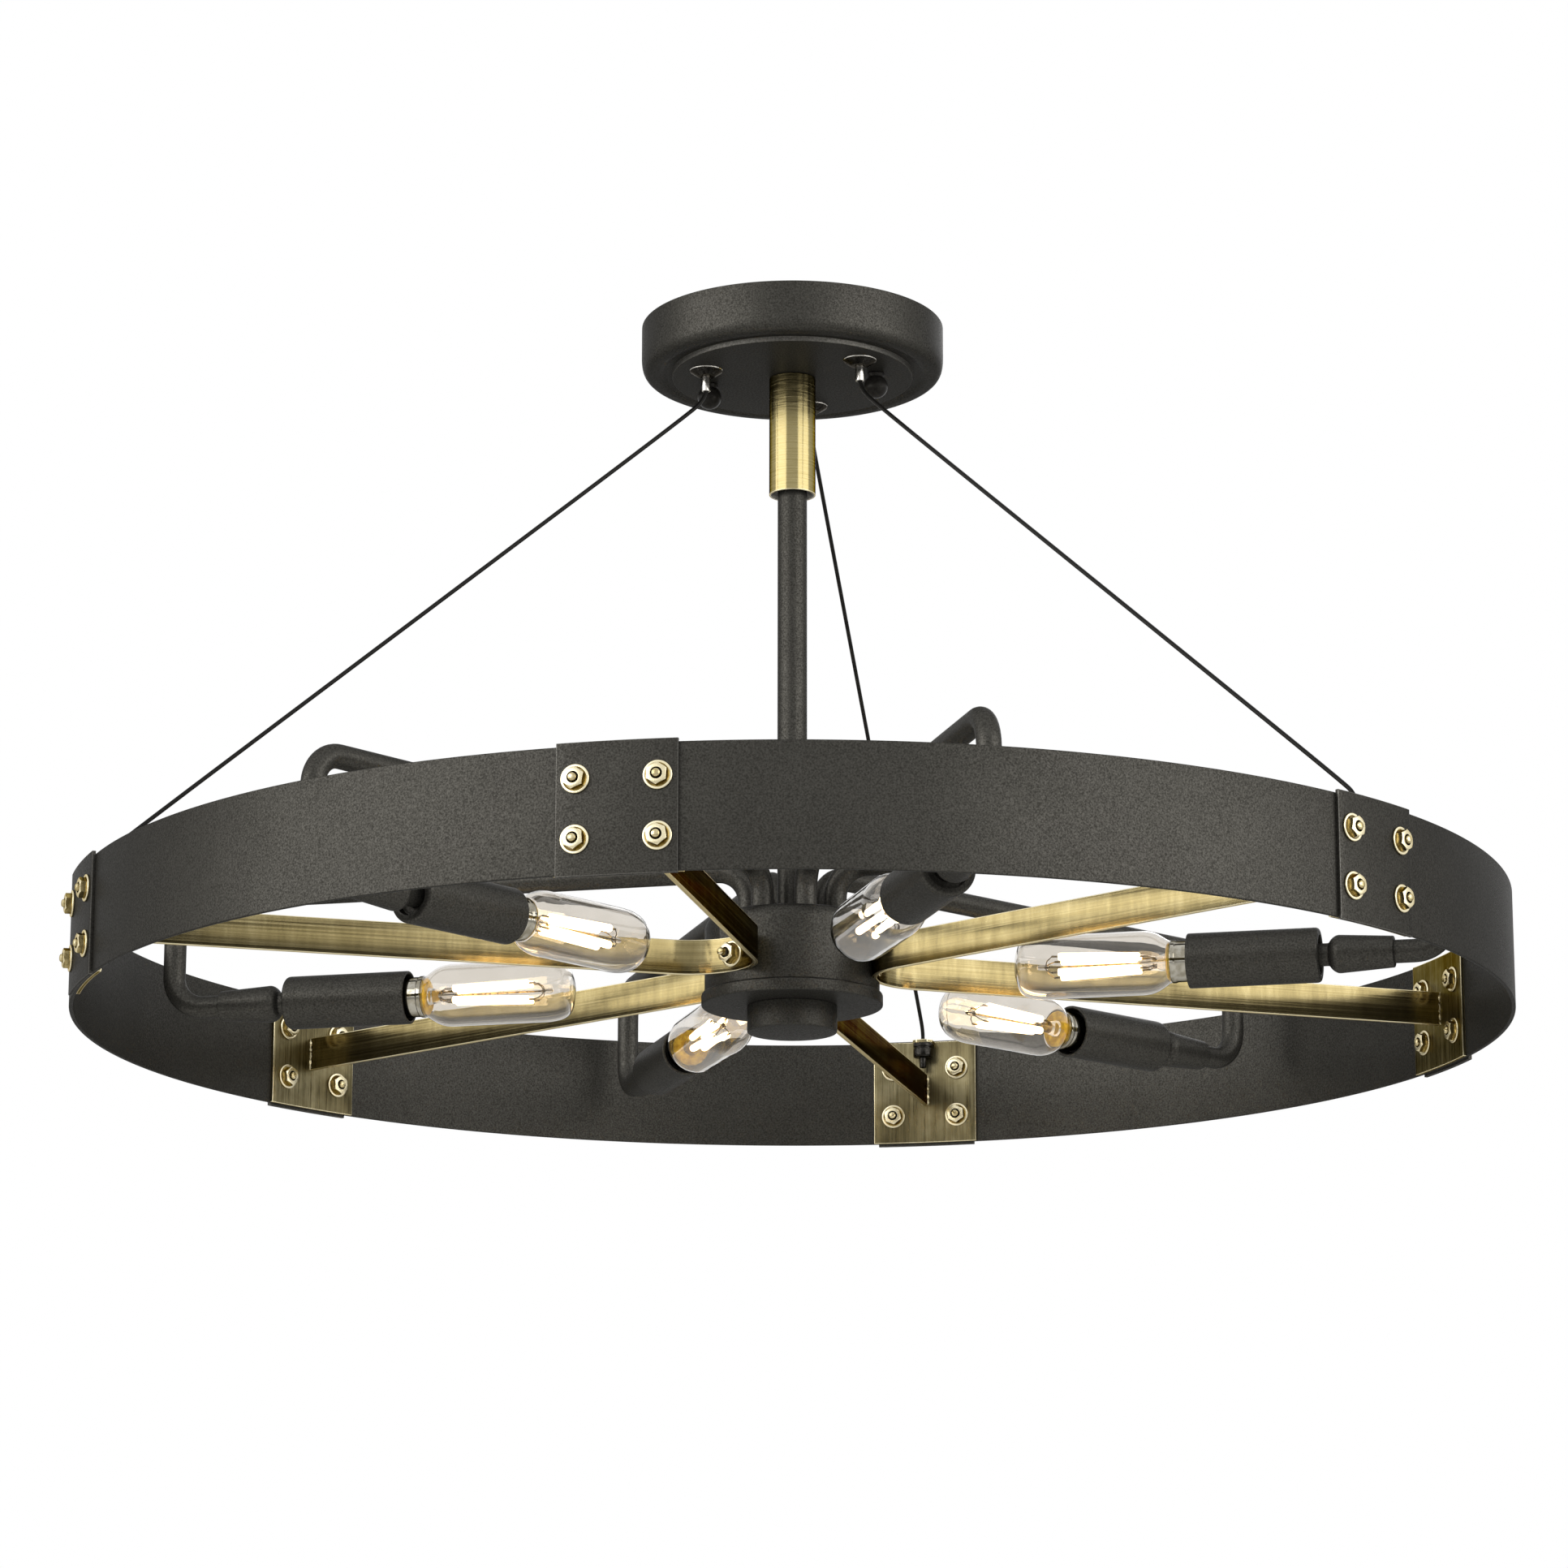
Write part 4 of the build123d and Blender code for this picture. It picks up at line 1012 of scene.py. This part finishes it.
def arm_piece(number, place):
    """Arm with its lamp cup and the thread at its root."""
    root, foot, heading = arm_plan(number)
    arm = Shape()
    arm.tube(bent([root + up(HUB_TOP + 0.02), root + up(RUN_LEVEL), foot + up(RUN_LEVEL),
                   foot + up(LAMP_LEVEL), foot - heading * (CUP_START + 2.0) + up(LAMP_LEVEL)], ARM_BEND),
             ARM_RADIUS, segments=40)
    arm.turn(place, soften([
        (CUP_START, 0.0), (CUP_START, 4.4), (CUP_START, 6.2, 0.6), (43.3, 7.6, 1.2), (45.4, 6.2, 0.9),
        (46.6, 4.5, 0.4), (HOLDER_START, 4.5), (HOLDER_START, 0.0),
    ], steps=5), segments=64)
    arm.turn(Matrix.Translation(root), [(HUB_TOP - 8.0, 0.0)]
             + threaded(HUB_TOP - 8.0, HUB_TOP, 3.6, pitch=0.9, depth=0.2) + [(HUB_TOP, 0.0)], segments=20)
    arm.piece(f"arm_tube_{number + 1}", [lightened_tube_coat], slot="black_powder_coat",
              replaces=[f"arm_{number + 1}"])


def socket_piece(number, place):
    """Plain tube over the lampholder, recessed at its back."""
    socket = Shape()
    socket.turn(place, soften([
        (HOLDER_START, 4.6), (SOCKET_START + 3.0, 4.6, 0.3), (SOCKET_START + 3.0, 7.8, 0.4),
        (SOCKET_START, 7.8, 0.5), (SOCKET_START, SOCKET_RADIUS, 1.9), (SOCKET_END, SOCKET_RADIUS, 0.6),
        (SOCKET_END, 9.6, 0.5), (HOLDER_START, 9.6),
    ], steps=6), segments=80, closed=True)
    socket.piece(f"socket_tube_{number + 1}", [lightened_tube_coat], slot="black_powder_coat",
                 replaces=[f"socket_cover_{number + 1}"])


def glass_outline(inset):
    """Outer or inner wall of a bulb's glass, from its foot to the middle of its tip."""
    tip = GLASS_END - inset
    wide = GLASS_RADIUS - inset
    return soften([
        (GLASS_START, 8.35 - inset), (GLASS_START + 1.0, 8.4 - inset, 0.8),
        (GLASS_START + 7.6, wide, 4.4), (tip - 3.0, wide, 9.5), (tip, wide * 0.42, 4.2), (tip, 0.0),
    ], steps=10)


def bulb_body(number, place, body):
    """Glass, base, the gold foot in it, and the glass press that carries the filaments."""
    shell = Shape()
    shell.turn(place, glass_outline(0.0) + glass_outline(GLASS_WALL)[::-1], segments=72, closed=True)
    shell.piece(f"glass_tube_{number + 1}", [glass], body=body, slot="clear_glass",
                replaces=[f"bulb_glass_{number + 1}"], sharp=SOFT_ANGLE)

    base = Shape()
    base.turn(place, [(BASE_START, 0.0), (BASE_START, 4.6)]
              + threaded(81.5, 97.0, 5.9, pitch=2.54, depth=0.5)
              + soften([
                  (97.6, 5.6), (99.9, 8.0, 0.6), (100.4, BASE_RADIUS), (106.6, BASE_RADIUS, 0.3),
                  (107.0, 8.45, 0.25), (GLASS_START, 8.5, 0.3), (108.7, 8.1), (108.0, 7.9), (108.0, 0.0),
              ], steps=4), segments=64)
    base.piece(f"base_shell_{number + 1}", [bulb_metal], body=body, slot="bulb_metal",
               replaces=[f"bulb_base_{number + 1}"])

    foot = Shape()
    foot.turn(place, [(108.05, 0.0), (108.05, 7.6), (109.6, 7.7), (110.3, 6.6), (110.0, 4.6), (110.6, 0.0)],
              segments=48)
    foot.piece(f"bulb_foot_{number + 1}", [gold_foot], body=body, slot="bulb_metal", sharp=SOFT_ANGLE)

    press = Shape()
    press.turn(place, soften([
        (110.4, 0.0), (110.4, 3.6), (113.0, 3.0, 1.5), (118.0, 1.5, 1.5), (122.0, 1.3, 0.6), (122.6, 0.0),
    ], steps=5), segments=32)
    press.turn(place, soften([(158.0, 0.0), (158.0, 1.2, 0.6), (162.0, 1.0, 0.6), (163.0, 0.0)], steps=4),
               segments=24)
    press.piece(f"glass_press_{number + 1}", [glass], body=body, slot="clear_glass", sharp=SOFT_ANGLE)


def around_axis(radius, angle, height):
    """Point near a lamp's axis."""
    return Vector((radius * math.cos(angle), radius * math.sin(angle), height))


def bulb_filaments(number, place, body):
    """Four slanted filament sticks, with their crimped leads and support wires."""
    sticks = Shape()
    wires = Shape()
    for index in range(4):
        angle = math.radians(45 + 90 * index + 4 * (number * 5 % 3 - 1))
        near = around_axis(3.3, angle, FILAMENT_START)
        far = around_axis(4.6, angle + 0.12, FILAMENT_END)
        length = (far - near).length
        along = (far - near).normalized()
        heading = place.to_3x3() @ along
        sticks.turn(placed(place @ near, heading, heading.orthogonal()),
                    soften([(0.0, 0.0), (0.0, 1.5, 0.8), (length, 1.5, 0.8), (length, 0.0)], steps=4),
                    segments=20)
        lead = near - along * 3.4
        for tip, reach in ((lead, near + along * 0.2), (far - along * 0.2, far + along * 2.6)):
            wires.tube([place @ tip, place @ reach], 0.42, segments=8)
        crimped = []
        for step in range(13):
            wander = Vector((math.sin(step * 2.1 + index), math.cos(step * 2.7 + number), 0))
            point = around_axis(1.0, angle, 114.5).lerp(lead, step / 12)
            crimped.append(place @ (point + wander * (0.75 * math.sin(math.pi * step / 12))))
        wires.tube(crimped, 0.24, segments=6)
        wires.tube([place @ (far + along * 2.5), place @ Vector((far.x * 0.6, far.y * 0.6, 158.2)),
                    place @ around_axis(0.6, angle, 159.0)], 0.2, segments=6)
    wires.tube([place @ up(FILAMENT_START), place @ up(159.5)], 0.34, segments=8)
    sticks.piece(f"filament_{number + 1}", [glow], body=body, slot="bulb_metal", sharp=SOFT_ANGLE)
    wires.piece(f"filament_wires_{number + 1}", [support_wire], body=body, slot="bulb_metal",
                sharp=SOFT_ANGLE)


for number in range(len(LAMP_AZIMUTHS)):
    _, foot, heading = arm_plan(number)
    # Its origin is the foot of the arm's drop, and its Z goes along the lamp towards the hub.
    lamp_place = placed(foot + up(LAMP_LEVEL), -heading, beside(heading))
    arm_piece(number, lamp_place)
    socket_piece(number, lamp_place)
    bulb_body(number, lamp_place, f"bulb_{number + 1}")
    bulb_filaments(number, lamp_place, f"bulb_{number + 1}")


# Stage: a pale floor far below, soft lamps, and a white world for the camera, gloss and glass

def stage_floor(level=-1.35, size=7.0):
    """Floor, with its level and half its size in metres."""
    finish = Finish("pale_floor")
    tone = finish.noise(finish.coordinates(), scale=1.5)
    finish.tone(tone, [(0.3, (0.80, 0.80, 0.79)), (0.7, (0.84, 0.84, 0.83))])
    finish.set(Roughness=0.9)
    mesh = bpy.data.meshes.new("floor")
    corners = [(-size, -size, level), (size, -size, level), (size, size, level), (-size, size, level)]
    mesh.from_pydata(corners, [], [(0, 1, 2, 3)])
    mesh.materials.append(finish.material)
    floor = bpy.data.objects.new("floor", mesh)
    bpy.context.scene.collection.objects.link(floor)


def soft_lamp(name, place, size, power, aim_level=-0.22, colour=(1.0, 0.98, 0.95)):
    """Rectangular lamp aimed at the stem's line, in metres and watts."""
    data = bpy.data.lights.new(name, "AREA")
    data.shape = "RECTANGLE"
    data.size, data.size_y = size
    data.energy = power
    data.color = colour
    lamp = bpy.data.objects.new(name, data)
    bpy.context.scene.collection.objects.link(lamp)
    lamp.location = place
    lamp.rotation_euler = (up(aim_level) - Vector(place)).to_track_quat("-Z", "Y").to_euler()
    # A lamp's panel isn't seen through the bulbs' glass.
    lamp.visible_transmission = False


def white_world():
    """World that lights softly, and is plain white to the camera and in gloss and glass."""
    world = bpy.data.worlds.new("white")
    bpy.context.scene.world = world
    world.use_nodes = True
    nodes, links = world.node_tree.nodes, world.node_tree.links
    nodes.clear()
    output = nodes.new("ShaderNodeOutputWorld")
    path = nodes.new("ShaderNodeLightPath")
    seen = path.outputs["Is Camera Ray"]
    for ray in ("Is Glossy Ray", "Is Transmission Ray"):
        either = nodes.new("ShaderNodeMath")
        either.operation = "MAXIMUM"
        links.new(seen, either.inputs[0])
        links.new(path.outputs[ray], either.inputs[1])
        seen = either.outputs[0]
    shades = []
    for colour, strength in (((1.0, 0.99, 0.97, 1.0), 0.56), ((1.0, 1.0, 1.0, 1.0), 1.0)):
        shade = nodes.new("ShaderNodeBackground")
        shade.inputs["Color"].default_value = colour
        shade.inputs["Strength"].default_value = strength
        shades.append(shade.outputs[0])
    mix = nodes.new("ShaderNodeMixShader")
    for socket, source in zip(mix.inputs, (seen, *shades)):
        links.new(source, socket)
    links.new(mix.outputs[0], output.inputs["Surface"])


stage_floor()
white_world()
soft_lamp("key", (-2.0, -1.8, 0.35), (3.0, 2.0), 50.0)
soft_lamp("fill", (2.5, -0.95, 0.2), (2.9, 2.0), 44.0)
soft_lamp("rim", (0.6, 2.2, 0.9), (1.6, 0.9), 8.0, aim_level=-0.2, colour=(1.0, 1.0, 1.0))

bpy.context.scene.view_settings.view_transform = "Standard"
